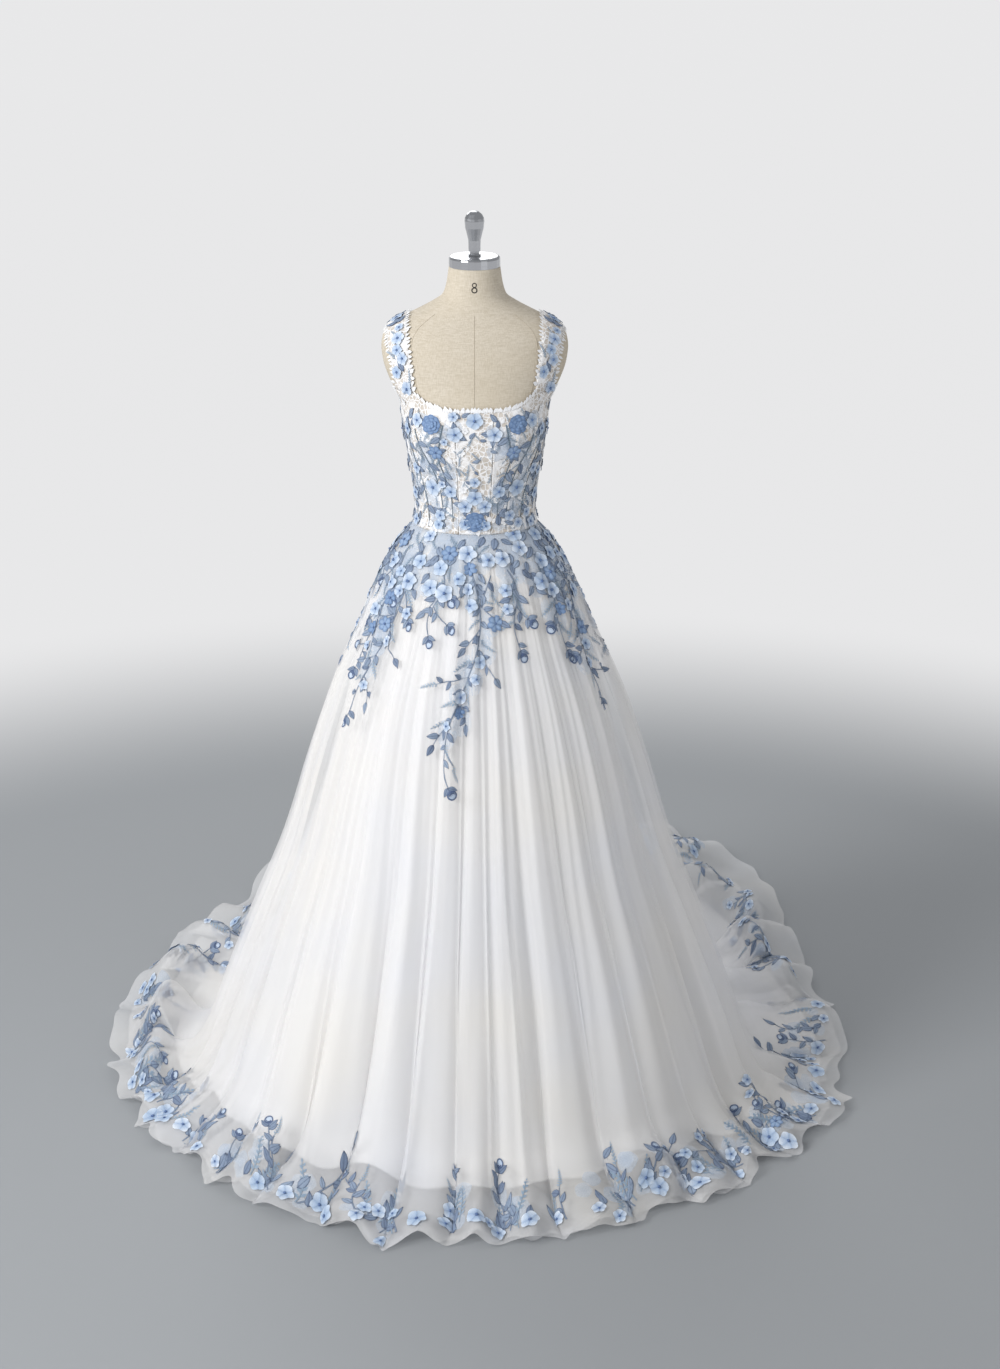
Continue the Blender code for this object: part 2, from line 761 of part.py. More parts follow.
def cloth_height(centre, upright, radius, walls):
    """How far the cloth under a flower rises above the plane that touches it at the centre."""
    look_down = 0.03
    normal = upright.col[2]
    height = -look_down
    for direction in range(24):
        turn = math.radians(15 * direction)
        for share in (0, 0.15, 0.3, 0.45, 0.6, 0.75, 0.9, 1):
            aside = Vector((math.cos(turn), math.sin(turn), 0)) * radius * petal_edge(turn) * share
            start = centre + upright @ aside + normal * look_down
            for wall in walls:
                hit, _, _, distance = wall.ray_cast(start, -normal, 2 * look_down)
                if hit:
                    height = max(height, look_down - distance)
    return height


def make_flower(name, centre, normal, up, radius, rise, walls, finish):
    """A scalloped, domed flower laid on the cloth without touching it."""
    points = FLOWER_PETALS * POINTS_PER_PETAL
    bm = bmesh.new()
    bmesh.ops.create_circle(bm, cap_ends=True, segments=points, radius=radius)
    for vert in bm.verts:
        vert.co *= petal_edge(math.atan2(vert.co.y, vert.co.x))
    across = up.cross(normal).normalized()
    upright = Matrix((across, normal.cross(across), normal)).transposed()
    height = cloth_height(centre, upright, radius, walls)
    made = bmesh.ops.extrude_face_region(bm, geom=bm.faces[:], use_keep_orig=True)["geom"]
    top = [g for g in made if isinstance(g, bmesh.types.BMVert)]
    for vert in top:
        vert.co = Vector((vert.co.x * 0.55, vert.co.y * 0.55, rise * 0.7))
    cap = [g for g in made if isinstance(g, bmesh.types.BMFace) and len(g.verts) == points]
    bmesh.ops.poke(bm, faces=cap, offset=rise * 0.3)
    bmesh.ops.transform(bm, matrix=upright.to_4x4(), verts=bm.verts)
    bmesh.ops.translate(bm, verts=bm.verts, vec=centre + normal * (height + FLOWER_GAP))
    bmesh.ops.recalc_face_normals(bm, faces=bm.faces)
    place_bmesh(name, bm, finish)


def make_skirt_flower(name, angle, row, radius, walls):
    """A flower on the crest of a fold, between two rows of the tulle."""
    above = tulle_point(angle, math.floor(row))
    below = tulle_point(angle, math.floor(row) + 1)
    centre = above.lerp(below, row % 1)
    across = tulle_point(angle + 0.25, row) - tulle_point(angle - 0.25, row)
    normal = (below - above).cross(across).normalized()
    make_flower(name, centre, normal, above - below, radius, SKIRT_FLOWER_RISE, walls, "petal")


def make_flowers():
    graph = bpy.context.evaluated_depsgraph_get()
    graph.update()
    walls = {"bodice": [], "skirt_tulle": [], "strap": []}
    for made in bpy.data.collections["wedding_dress"].objects:
        for start, trees in walls.items():
            if made.name.startswith(start):
                trees.append(BVHTree.FromObject(made, graph))
    for name, angle, height, radius in BODICE_FLOWERS:
        out = EASE + BODICE_WALL
        centre = body(angle, height, out)
        across = body(angle + 1, height, out) - body(angle - 1, height, out)
        up = body(angle, height + 0.01, out) - body(angle, height - 0.01, out)
        finish = "rose" if "rose" in name else "petal"
        rise = ROSE_RISE if finish == "rose" else BODICE_FLOWER_RISE
        near = walls["bodice"] + walls["strap"] + (walls["skirt_tulle"] if height < 1.16 else [])
        normal = across.cross(up).normalized()
        make_flower(name, centre, normal, up, radius, rise, near, finish)
    for number in range(HEM_FLOWERS):
        crest = round((number - HEM_FLOWERS / 2 + 0.5) * FOLDS / HEM_FLOWERS)
        angle = fold_angle(crest)
        make_skirt_flower(f"flower_hem_{number + 1}", angle, HEM_FLOWER_ROW, HEM_FLOWER_RADIUS,
                          walls["skirt_tulle"])
    for number, crest in enumerate(WAIST_FLOWER_CRESTS):
        angle = fold_angle(crest)
        make_skirt_flower(f"flower_waist_{number + 1}", angle, WAIST_FLOWER_ROW, WAIST_FLOWER_RADIUS,
                          walls["skirt_tulle"])


def main():
    clear_scene()
    collection_named("wedding_dress")
    make_torso()
    make_neck_fittings()
    make_stand()
    make_bodice()
    make_straps()
    make_placket()
    make_tulle()
    make_lining()
    make_flowers()


main()
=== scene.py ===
"""The looks of a tulle wedding gown on its dress form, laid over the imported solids.

Metres, +Z up, front towards -Y. The origin lies on the floor under the form's pole.
Angles run round the body in degrees: 0 at the front, 90 at +X, 180 at the back.
"""
import math
import random

import bmesh
import bpy
import numpy as np
from mathutils import Matrix, Vector


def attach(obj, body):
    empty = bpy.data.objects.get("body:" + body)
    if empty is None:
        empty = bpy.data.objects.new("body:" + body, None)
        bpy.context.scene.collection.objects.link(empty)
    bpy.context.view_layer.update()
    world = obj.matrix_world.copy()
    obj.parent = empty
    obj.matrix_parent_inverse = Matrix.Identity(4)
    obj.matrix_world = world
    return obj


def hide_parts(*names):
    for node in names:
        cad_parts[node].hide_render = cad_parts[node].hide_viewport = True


bl_info = {
    "name": "Tulle wedding gown on a dress form",
    "version": (1, 0, 0),
    "blender": (4, 5, 0),
    "location": "View3D > Sidebar > Gown",
    "description": "Builds a tulle gown with sewn-on blue sprays, its linen form and a plain studio",
    "category": "Object",
}

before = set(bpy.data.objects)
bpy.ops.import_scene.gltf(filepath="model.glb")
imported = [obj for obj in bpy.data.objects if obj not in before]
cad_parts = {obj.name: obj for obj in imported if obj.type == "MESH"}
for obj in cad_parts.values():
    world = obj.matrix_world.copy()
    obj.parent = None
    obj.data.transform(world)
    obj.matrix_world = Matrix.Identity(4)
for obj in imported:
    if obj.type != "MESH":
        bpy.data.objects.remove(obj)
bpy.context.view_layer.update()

# Sizes and tables: the form's, the panels' and the skirt's are the same as the solids'
SEAM_GAP = 0.0003
WAIST_HEIGHT = 1.118
EASE = 0.0016
BODICE_WALL = 0.0020
STRAP_WALL = 0.0016
PLACKET_WALL = 0.0010
LINING_WALL = 0.0012
LINING_CLEAR = 0.0045
LINING_TOP_ROW = 0.15
UNDERLAYER_SHORT = 0.42
FLOOR_CLEAR = 0.0006
TULLE_CLEAR = 0.0008
BUST_ANGLE = 38
BUST_HALF_ANGLE = 21
BUST_HEIGHT = 1.295
BUST_HALF_HEIGHT = 0.047
BUST_DEPTH = 0.013
STRAP_WIDTH = 0.033
STRAP_LENGTH = 0.27
STRAP_FOOT = 1.365
PLACKET_HEIGHTS = (1.122, 1.316)
PLACKET_HALF_ANGLE = 3.4
BUTTONS = 9
BACK_CLEAR = 171
FOLDS = 32
STITCH_STEP = 0.006
PATCH_LIFT = 0.0003
PETALS = 5
YOKE_STRANDS = 52
HEM_FLOWERS = 14
HEM_FLOWER_ROW = 11.35
WAIST_FLOWER_ROW = 1.7
TORSO_NAMES = ("height", "half_width", "front", "back")
TORSO = [
    (0.860, 0.1480, 0.093, 0.112),
    (0.920, 0.1560, 0.099, 0.119),
    (0.980, 0.1540, 0.099, 0.117),
    (1.060, 0.1300, 0.094, 0.102),
    (1.100, 0.1120, 0.091, 0.093),
    (1.145, 0.1025, 0.090, 0.088),
    (1.185, 0.1055, 0.094, 0.089),
    (1.230, 0.1130, 0.099, 0.092),
    (1.270, 0.1190, 0.104, 0.096),
    (1.310, 0.1240, 0.106, 0.099),
    (1.340, 0.1280, 0.104, 0.101),
    (1.360, 0.1400, 0.100, 0.101),
    (1.380, 0.1500, 0.096, 0.100),
    (1.410, 0.1600, 0.090, 0.097),
    (1.435, 0.1630, 0.084, 0.093),
    (1.455, 0.1600, 0.078, 0.088),
    (1.470, 0.1500, 0.071, 0.082),
    (1.482, 0.1330, 0.064, 0.075),
    (1.490, 0.1180, 0.060, 0.070),
    (1.505, 0.0880, 0.054, 0.062),
    (1.515, 0.0700, 0.051, 0.058),
    (1.525, 0.0560, 0.048, 0.054),
    (1.545, 0.0490, 0.046, 0.049),
    (1.574, 0.0445, 0.0445, 0.0445),
]
NECKLINE_NAMES = ("angle", "height")
NECKLINE = [
    (0, 1.342),
    (20, 1.343),
    (35, 1.349),
    (45, STRAP_FOOT),
    (70, STRAP_FOOT),
    (78, 1.342),
    (90, 1.334),
    (102, 1.342),
    (110, STRAP_FOOT),
    (135, STRAP_FOOT),
    (150, 1.336),
    (165, 1.324),
    (180, 1.320),
]
# The bodice's seams, in degrees
BODICE_PANELS = {
    "bodice_front_center": (-15, 15),
    "bodice_front_right": (15, 70),
    "bodice_side_right": (70, 110),
    "bodice_back_right": (110, 180),
    "bodice_front_left": (-70, -15),
    "bodice_side_left": (-110, -70),
    "bodice_back_left": (-180, -110),
}
BONES = (15, 33, 54, 86, 126)
STRAP_INNER = (0.1045, 0.1160)
STRAP_OUTER = (0.1365, 0.1510)
STRAP_SHOULDER = 1.475
WIDEST_SHOULDER = 1.435
SKIRT_NAMES = ("height", "front", "side", "back", "fold", "lean", "reach")
SKIRT = np.array([
    (1.117, 0.000, 0.000, 0.000, 0.0000, 5, 0),
    (1.080, 0.124, 0.139, 0.126, 0.0020, 8, 0),
    (1.015, 0.160, 0.174, 0.164, 0.0050, 10, 0),
    (0.930, 0.195, 0.208, 0.206, 0.0090, 10, 0),
    (0.820, 0.234, 0.255, 0.258, 0.0130, 10, 0),
    (0.680, 0.280, 0.302, 0.320, 0.0170, 10, 0),
    (0.530, 0.328, 0.345, 0.384, 0.0200, 10, 0),
    (0.380, 0.376, 0.401, 0.454, 0.0225, 10, 0),
    (0.240, 0.424, 0.452, 0.532, 0.0240, 10, 0),
    (0.110, 0.468, 0.501, 0.640, 0.0230, 15, 0),
    (0.022, 0.512, 0.553, 0.790, 0.0170, 60, 0),
    (0.000, 0.512, 0.553, 0.790, 0.0110, 90, 0.5),
    (0.000, 0.512, 0.553, 0.790, 0.0100, 90, 1),
])
HEM_NAMES = ("angle", "tulle", "lining", "lining_height")
HEM = [
    (-180, 1.40, 1.14, 0.000),
    (-160, 1.20, 0.98, 0.000),
    (-147, 1.00, 0.82, 0.000),
    (-130, 0.88, 0.74, 0.000),
    (-115, 0.79, 0.66, 0.000),
    (-95, 0.71, 0.57, 0.004),
    (-73, 0.635, 0.495, 0.030),
    (-38, 0.61, 0.475, 0.045),
    (0, 0.61, 0.470, 0.045),
    (38, 0.61, 0.475, 0.045),
    (56, 0.62, 0.485, 0.035),
    (68, 0.65, 0.530, 0.006),
    (78, 0.69, 0.610, 0.000),
    (104, 0.745, 0.69, 0.000),
    (125, 0.84, 0.76, 0.000),
    (140, 1.02, 0.88, 0.000),
    (153, 1.26, 1.03, 0.000),
    (165, 1.38, 1.11, 0.000),
    (180, 1.40, 1.14, 0.000),
]
# Places where the tulle stands up on the floor: angle, row, half width, half length in rows, height
PUFFS = [
    (-99, 10.80, 7.0, 0.42, 0.105),
    (-87, 11.05, 4.0, 0.35, 0.045),
    (-113, 11.20, 5.0, 0.40, 0.070),
    (-136, 10.90, 7.0, 0.40, 0.055),
    (-164, 11.30, 6.0, 0.35, 0.045),
    (112, 11.30, 4.0, 0.30, 0.045),
    (122, 10.95, 4.5, 0.35, 0.075),
    (131, 11.40, 3.5, 0.32, 0.070),
    (141, 11.00, 4.0, 0.35, 0.090),
    (151, 11.35, 4.0, 0.35, 0.070),
    (174, 11.10, 7.0, 0.40, 0.050),
]
# The gores' seams, in quarter folds from the front
TULLE_GORES = {
    "skirt_tulle_front": (-20, 20),
    "skirt_tulle_side_right": (20, 44),
    "skirt_tulle_back_right": (44, 64),
    "skirt_tulle_side_left": (-44, -20),
    "skirt_tulle_back_left": (-64, -44),
}
# The underskirt's seams, in degrees
LINING_PANELS = {
    "skirt_lining_front": (-67.5, 67.5),
    "skirt_lining_back_right": (67.5, 180),
    "skirt_lining_back_left": (-180, -67.5),
}
ROWS = len(SKIRT) - 1
# The studio: the floor, where it fades to the backdrop, the camera and the lamps
FLOOR_RADIUS = 40
FLOOR_DROP = 0.0005
BACKDROP_FADE = (1.7, 3.1)
CAMERA_PLACE = (0.044, -4.8, 2.45)
CAMERA_TILT = 71.13
CAMERA_LENS = 73.4
# Each lamp: name, place, power, size and the height that it points at
LAMPS = [
    ("key", (-3.2, -2.9, 3.2), 178, 1.8, 0.8),
    ("fill", (3.6, -3.2, 2.0), 10, 3.0, 0.8),
    ("back", (-0.8, 3.6, 3.2), 50, 2.2, 0.6),
]


# Curves and tables
def steps_to_slopes(steps):
    """Slopes at the points of a curve that never overshoots, from the steps between them."""
    before = np.concatenate([steps[:1], steps])
    after = np.concatenate([steps, steps[-1:]])
    product = before * after
    total = np.where(product > 0, before + after, 1.0)
    return np.where(product > 0, 2 * product / total, 0.0)


def curve(keys, values, at):
    """A cubic through points that never overshoots them."""
    keys = np.asarray(keys, float)
    values = np.asarray(values, float)
    if keys[0] > keys[-1]:
        keys = keys[::-1]
        values = values[::-1]
    at = np.clip(at, keys[0], keys[-1])
    slopes = steps_to_slopes(np.diff(values) / np.diff(keys))
    k = np.clip(np.searchsorted(keys, at) - 1, 0, len(keys) - 2)
    width = keys[k + 1] - keys[k]
    s = (at - keys[k]) / width
    start = (1 + 2 * s) * (1 - s) ** 2 * values[k] + s * (1 - s) ** 2 * width * slopes[k]
    end = s * s * (3 - 2 * s) * values[k + 1] - s * s * (1 - s) * width * slopes[k + 1]
    return start + end


def column_at(table, names, column, at):
    keys = [line[0] for line in table]
    return curve(keys, [line[names.index(column)] for line in table], at)


def between_rows(rings, row):
    """Points between the rings of a surface: rings is (row, point, 3) and row is one per point."""
    slopes = steps_to_slopes(np.diff(rings, axis=0))
    row = np.clip(row, 0, len(rings) - 1)
    k = np.clip(np.floor(row).astype(int), 0, len(rings) - 2)
    each = np.arange(rings.shape[1])
    s = (row - k)[:, None]
    start = (1 + 2 * s) * (1 - s) ** 2 * rings[k, each] + s * (1 - s) ** 2 * slopes[k, each]
    end = s * s * (3 - 2 * s) * rings[k + 1, each] - s * s * (1 - s) * slopes[k + 1, each]
    return start + end


def smooth_step(low, high, at):
    share = np.clip((at - low) / (high - low), 0.0, 1.0)
    return share * share * (3 - 2 * share)


def wander(angle, seed, *turns):
    """An uneven wave round the body, the same at -180 and 180 degrees, about -1 to 1."""
    turn = np.radians(angle)
    total = sum(np.sin(k * turn + seed * (1.3 + 0.7 * n)) for n, k in enumerate(turns))
    return total / math.sqrt(len(turns))


def stack(x, y, z):
    x, y, z = np.broadcast_arrays(x, y, z)
    return np.stack([x, y, z], axis=-1)


def unit(vectors):
    return vectors / np.maximum(np.linalg.norm(vectors, axis=-1, keepdims=True), 1e-9)


def straight_out(point):
    """Level directions away from the pole."""
    return unit(point * np.array([1.0, 1.0, 0.0]))


# Surfaces of the form, bodice, straps and skirt
def body(angle, height, out=0.0):
    """Points on the form's skin, or a distance out from it."""
    angle = (np.asarray(angle, float) + 180) % 360 - 180
    turn = np.radians(angle)
    half_width, front, back = (column_at(TORSO, TORSO_NAMES, c, height) for c in TORSO_NAMES[1:])
    depth = np.where(np.cos(turn) > 0, front, back)
    outward = unit(stack(np.sin(turn) / half_width, -np.cos(turn) / depth, 0.0))
    side = (np.abs(angle) - BUST_ANGLE) / BUST_HALF_ANGLE
    rise = (height - BUST_HEIGHT) / BUST_HALF_HEIGHT
    bust = BUST_DEPTH * np.exp(-side * side - rise * rise)
    point = stack(half_width * np.sin(turn), -depth * np.cos(turn), height)
    return point + outward * np.expand_dims(np.asarray(out + bust), -1)


def facing(point):
    return np.degrees(np.arctan2(point[..., 0], -point[..., 1]))


def hem_value(column, angle):
    return column_at(HEM, HEM_NAMES, column, angle)


def hem_point(layer, foot, height):
    """The points of a layer's hem that lie straight out from points of the skirt's foot."""
    outward = straight_out(foot)
    hem = outward * hem_value(layer, facing(foot))[..., None]
    hem[..., 2] = height
    return hem


def skirt_rings(angle):
    """The rows of the unfolded skirt at each angle, from the waist to the hem."""
    turn = np.radians(angle)
    rings = [body(angle, WAIST_HEIGHT - SEAM_GAP, EASE)]
    for height, front, side, back, _, _, reach in SKIRT[1:]:
        depth = np.where(np.cos(turn) > 0, front, back)
        ring = stack(side * np.sin(turn), -depth * np.cos(turn), height)
        if reach > 0:
            ring = ring * (1 - reach) + hem_point("tulle", ring, height) * reach
        rings.append(ring)
    return np.array(rings)


def skirt_value(column, row):
    return curve(np.arange(ROWS + 1), SKIRT[:, SKIRT_NAMES.index(column)], row)


def fold_phase(angle):
    """Turns of folding from the front to an angle; the folds are unevenly wide."""
    turn = np.radians(angle)
    uneven = 0.12 * np.sin(3 * turn) + 0.14 * np.sin(5 * turn) + 0.07 * np.sin(9 * turn)
    return FOLDS * angle / 360 + uneven


FINE_ANGLES = np.linspace(-190, 190, 7601)
FINE_PHASES = fold_phase(FINE_ANGLES)


def fold_angle(phase):
    return np.interp(phase, FINE_PHASES, FINE_ANGLES)


def fold_wave(angle, row):
    """How far the tulle's folds stand out, -1 to 1, with finer creases between the main ones."""
    phase = fold_drift(angle, row)
    main = np.cos(2 * np.pi * phase)
    double = np.cos(2 * np.pi * 2 * phase + 1.1 + wander(angle, 4.0, 3, 4))
    creases = np.cos(2 * np.pi * (3 * phase + 0.35 * wander(angle, 2.0 + 0.2 * row, 4, 9)))
    pleats = np.cos(2 * np.pi * (5 * phase + 0.4 * wander(angle, 6.0 + 0.1 * row, 7, 11)))
    depth = 0.74 + 0.26 * wander(angle, 0.6 + 0.22 * row, 4, 7, 11)
    broad = 0.26 * wander(angle, 3.0 + 0.15 * row, 6, 9, 13) * smooth_step(3, 8, row)
    fine = smooth_step(12, 5, row)
    wave = depth * (main + 0.20 * double) * 0.85 + broad + 0.14 * creases + 0.08 * pleats * fine
    wave = wave * (0.60 + 0.40 * np.maximum(smooth_step(5, 9, row), smooth_step(2.5, 1, row)))
    return np.maximum(wave, -0.6 + 0.4 * np.tanh((wave + 0.6) / 0.4))


def fold_drift(angle, row):
    """The folds' phase once they have strayed a little on their way down."""
    return fold_phase(angle) + 0.09 * wander(angle, 1.0 + 0.31 * row, 2, 5, 7) * smooth_step(1.5, 6, row)


def fold_overlap(angle, row):
    """How far round the body each fold rolls over its neighbour, in degrees."""
    reach = (0.85 + 0.55 * wander(angle, 7.0 + 0.12 * row, 5, 8, 13)) * smooth_step(3, 8, row)
    reach = reach * (0.75 + 0.55 * smooth_step(6.5, 10, row)) * (1 - 0.6 * smooth_step(10.9, 12, row))
    return reach * np.sin(2 * np.pi * fold_drift(angle, row)) * 360 / FOLDS / (2 * np.pi)


def train_rest(point):
    """The height of what the tulle lies on: the underskirt on the floor, or the floor."""
    angle = facing(point)
    spread = smooth_step(0.03, 0.0, hem_value("lining_height", angle))
    past = np.linalg.norm(point[..., :2], axis=-1) - hem_value("lining", angle) - 0.025
    return 0.0045 * spread * smooth_step(0.025, 0.0, past)


def train_ruffle(angle, row):
    """How high the tulle's loose ruffles stand on the floor, most of all in the train."""
    train = smooth_step(85, 130, np.abs(angle))
    lying = smooth_step(10.0, 11.1, row) * (0.55 + 0.45 * smooth_step(12.1, 11.6, row))
    phase = fold_drift(angle, row)
    ridge = 0.5 + 0.5 * np.cos(2 * np.pi * (phase + 0.10 * np.sin(3.1 * row + angle / 17)))
    swell = 0.55 + 0.45 * np.sin(1.9 * row + 3.0 * wander(angle, 5.0, 3, 5, 9))
    flute = 0.5 + 0.5 * wander(angle, 9.0 + 0.3 * row, 23, 31, 41)
    edge = smooth_step(11.2, 12, row)
    height = 0.012 * ridge ** 2 + train * swell * (0.034 * ridge ** 1.5 + 0.014 * flute)
    height = lying * height + 0.012 * np.abs(edge * flute) * (0.4 + 0.6 * ridge)
    for middle, at, width, length, top in PUFFS:
        apart = (angle - middle + 180) % 360 - 180
        height = height + top * np.exp(-(apart / width) ** 2 - ((row - at) / length) ** 2)
    return height


def hem_rise(angle, row):
    """How high the folds' crests hold the tulle up near the floor, like cones side by side."""
    crest = 0.5 + 0.5 * np.cos(2 * np.pi * fold_drift(angle, row))
    reach = smooth_step(8.8, 10.2, row) * np.clip((ROWS - row) / 1.9, 0, 1)
    return reach * (0.038 + 0.014 * wander(angle, 4.4, 5, 9, 14)) * (0.28 + 0.72 * crest ** 0.7)


def hem_scallop(angle, row):
    """How far the tulle's edge swings out and in where its folds end, in uneven points."""
    phase = fold_drift(angle, row) + 0.12 * wander(angle, 5.5, 9, 14)
    point = 1 - 2 * np.abs(2 * (phase - np.floor(phase)) - 1) ** 1.5
    depth = 0.006 + 0.007 * wander(angle, 1.7, 6, 10, 15)
    ragged = 0.013 * wander(angle, 2.2, 5, 12, 19) + 0.006 * wander(angle, 6.1, 43, 57, 71)
    return smooth_step(10.4, 12, row) * (depth * point + ragged - 0.006)


def side_room(angle, row):
    """How much further in the underskirt hangs at its sides, where the tulle alone can be seen through."""
    return 0.038 * np.sin(np.radians(angle)) ** 4 * smooth_step(2.5, 5, row) * smooth_step(10, 8, row)


def tulle(angle, row, under=0.0):
    """Points on the tulle; under takes it towards the lining, for the layer that hangs below it."""
    angle = np.asarray(angle, float)
    row = np.clip(np.asarray(row, float), 0, ROWS)
    wave = fold_wave(angle, row)
    point = between_rows(skirt_rings(angle + fold_overlap(angle, row)), row)
    lean = np.radians(skirt_value("lean", row))
    fold = skirt_value("fold", row)
    level = np.sin(lean) ** 2
    push = fold * (wave * (1 - level) + (0.5 + 0.5 * wave) * level)
    lift = train_ruffle(angle, row) * smooth_step(9.6, 10.6, row) + hem_rise(angle, row)
    swing = hem_scallop(angle, row)
    if np.any(under):
        own = wander(angle, 8.0 + 0.2 * row, 3, 8)
        deep = under * (0.6 + 0.3 * np.cos(2 * np.pi * (1.7 * fold_phase(angle) + 0.3 * own)))
        push = push * (1 - deep) - deep * fold * (1 - level) - under * side_room(angle, row)
        lift = lift * (1 - deep)
    outward = straight_out(point)
    point += outward * (np.cos(lean) * push + swing)[:, None]
    point[:, 2] += np.sin(lean) * push + lift
    rest = train_rest(point) + np.maximum(push, 0) * (level > 0.9)
    point[:, 2] = np.maximum(point[:, 2], rest + TULLE_CLEAR)
    return point


def lining_rings(angle):
    """The rows of the underskirt at each angle; the last two lie on the floor or hang just off it."""
    skirt = skirt_rings(angle)
    rings = []
    for row in range(ROWS - 2):
        ring = skirt[row] if row else skirt[0] * (1 - LINING_TOP_ROW) + skirt[1] * LINING_TOP_ROW
        fold = skirt_value("fold", row if row else LINING_TOP_ROW)
        soft = 0.25 * fold * np.cos(np.radians(8 * angle))
        clear = LINING_CLEAR if row else 0.0026
        slim = side_room(angle, row)
        outward = straight_out(ring)
        rings.append(ring - outward * (fold * 1.05 + clear + slim - np.minimum(soft, 0))[..., None])
    foot = skirt[ROWS - 2]
    height = hem_value("lining_height", facing(foot))
    hem = hem_point("lining", foot, height)
    spread = smooth_step(0.03, 0.0, height)[:, None]
    outward = straight_out(foot)
    tucked = foot - outward * (skirt_value("fold", ROWS - 2) + LINING_CLEAR + 0.012)
    tucked[:, 2] = 0.010
    rings.append((rings[-1] + hem) / 2 * (1 - spread) + tucked * spread)
    rings.append(hem)
    return np.array(rings)


def lining(angle, row):
    """Points on the underskirt, with its own soft folds."""
    point = between_rows(lining_rings(angle), row)
    outward = straight_out(point)
    hanging = smooth_step(2, 6, row) * smooth_step(10.5, 9.5, row)
    soft = 0.010 * hanging * (wander(angle, 2.5, 11, 14, 17) - 1.0)
    point += outward * soft[:, None]
    hanging = smooth_step(0.012, 0.03, hem_value("lining_height", angle)) * smooth_step(9.6, 11, row)
    point[:, 2] += 0.013 * hanging * wander(angle, 3.3, 7, 13, 19)
    point[:, 2] = np.maximum(point[:, 2], FLOOR_CLEAR)
    return point


def neckline(angle):
    return column_at(NECKLINE, NECKLINE_NAMES, "height", np.abs((angle + 180) % 360 - 180))


def bodice(angle, share, out=0.0):
    """Points on the bodice's inner side; share is 0 at the waist and 1 at the neckline."""
    height = WAIST_HEIGHT + (neckline(angle) - WAIST_HEIGHT) * share
    nearest = np.min([np.abs(np.abs(angle) - bone) for bone in BONES], axis=0)
    bone = 0.0011 * np.exp(-(nearest / 1.9) ** 2) * smooth_step(1.345, 1.31, height)
    return body(angle, height, EASE + out + bone)


def strap_line(across, along):
    """Points on the form under a right-hand strap: across 0 to 1, along -1 to 1 front to back."""
    foot = STRAP_INNER[0] + (STRAP_OUTER[0] - STRAP_INNER[0]) * across
    shoulder = STRAP_INNER[1] + (STRAP_OUTER[1] - STRAP_INNER[1]) * across
    start = STRAP_FOOT + SEAM_GAP

    def side(height):
        return foot + (shoulder - foot) * smooth_step(start, STRAP_SHOULDER, height)

    low = np.full_like(across, start)
    high = np.full_like(across, TORSO[-1][0])
    for _ in range(30):
        middle = (low + high) / 2
        below = (middle < WIDEST_SHOULDER) | (
            column_at(TORSO, TORSO_NAMES, "half_width", middle) > side(middle))
        low = np.where(below, middle, low)
        high = np.where(below, high, middle)
    height = low - (low - start) * along * along
    half_width = column_at(TORSO, TORSO_NAMES, "half_width", height)
    depth = np.where(along < 0, column_at(TORSO, TORSO_NAMES, "front", height),
                     column_at(TORSO, TORSO_NAMES, "back", height))
    share = np.maximum(1 - (side(height) / half_width) ** 2, 0.0)
    return stack(side(height), np.copysign(depth * np.sqrt(share), along), height)


def strap(across, along, out=0.0):
    """Points a distance out from the form along a right-hand strap."""
    reach = 0.02
    ahead = strap_line(across, np.minimum(along + reach, 1))
    over = ahead - strap_line(across, np.maximum(along - reach, -1))
    aside = strap_line(across + reach, along) - strap_line(across - reach, along)
    outward = -unit(np.cross(over, aside))
    level = np.abs(along) > 0.999
    outward[level, 2] = 0
    outward[level] /= np.sum(outward[level] ** 2, axis=-1, keepdims=True)
    return strap_line(across, along) + outward * np.expand_dims(np.asarray(out + 0.0018), -1)


# Making pieces
def read_points(mesh):
    points = np.empty(len(mesh.vertices) * 3)
    mesh.vertices.foreach_get("co", points)
    return points.reshape(-1, 3)


def write_points(mesh, points):
    mesh.vertices.foreach_set("co", np.ascontiguousarray(points, np.float32).ravel())
    mesh.update()


def write_uvs(mesh, across, down):
    """A UV map in metres, from one pair of values for each vertex."""
    layer = mesh.uv_layers.active or mesh.uv_layers.new(name="UVMap")
    corner = np.empty(len(mesh.loops), np.int32)
    mesh.loops.foreach_get("vertex_index", corner)
    pairs = np.stack([across[corner], down[corner]], axis=1)
    layer.data.foreach_set("uv", pairs.astype(np.float32).ravel())


def add_piece(name, mesh, material, nodes=()):
    """An object for a mesh: it rides on the one body and stands for the CAD nodes that are named."""
    piece = bpy.data.objects.new(name, mesh)
    bpy.context.scene.collection.objects.link(piece)
    mesh.materials.append(material)
    mesh.shade_smooth()
    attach(piece, "root")
    if nodes:
        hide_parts(*nodes)
    return piece


def paint_node(name, material):
    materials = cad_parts[name].data.materials
    materials.clear()
    materials.append(material)


def finished_mesh(bm, name):
    """The mesh of a bmesh, which is freed."""
    mesh = bpy.data.meshes.new(name)
    bm.to_mesh(mesh)
    bm.free()
    return mesh


def grid_mesh(name, columns, rows):
    bm = bmesh.new()
    bmesh.ops.create_grid(bm, x_segments=columns, y_segments=rows, size=0.5)
    return finished_mesh(bm, name)


def cloth_mesh(name, columns, rows, surface, size):
    """A grid laid on a surface; surface takes shares across and down, and size is in metres."""
    mesh = grid_mesh(name, columns, rows)
    flat = read_points(mesh)
    across = flat[:, 0] + 0.5
    down = 0.5 - flat[:, 1]
    write_points(mesh, surface(across, down))
    write_uvs(mesh, across * size[0], down * size[1])
    return mesh


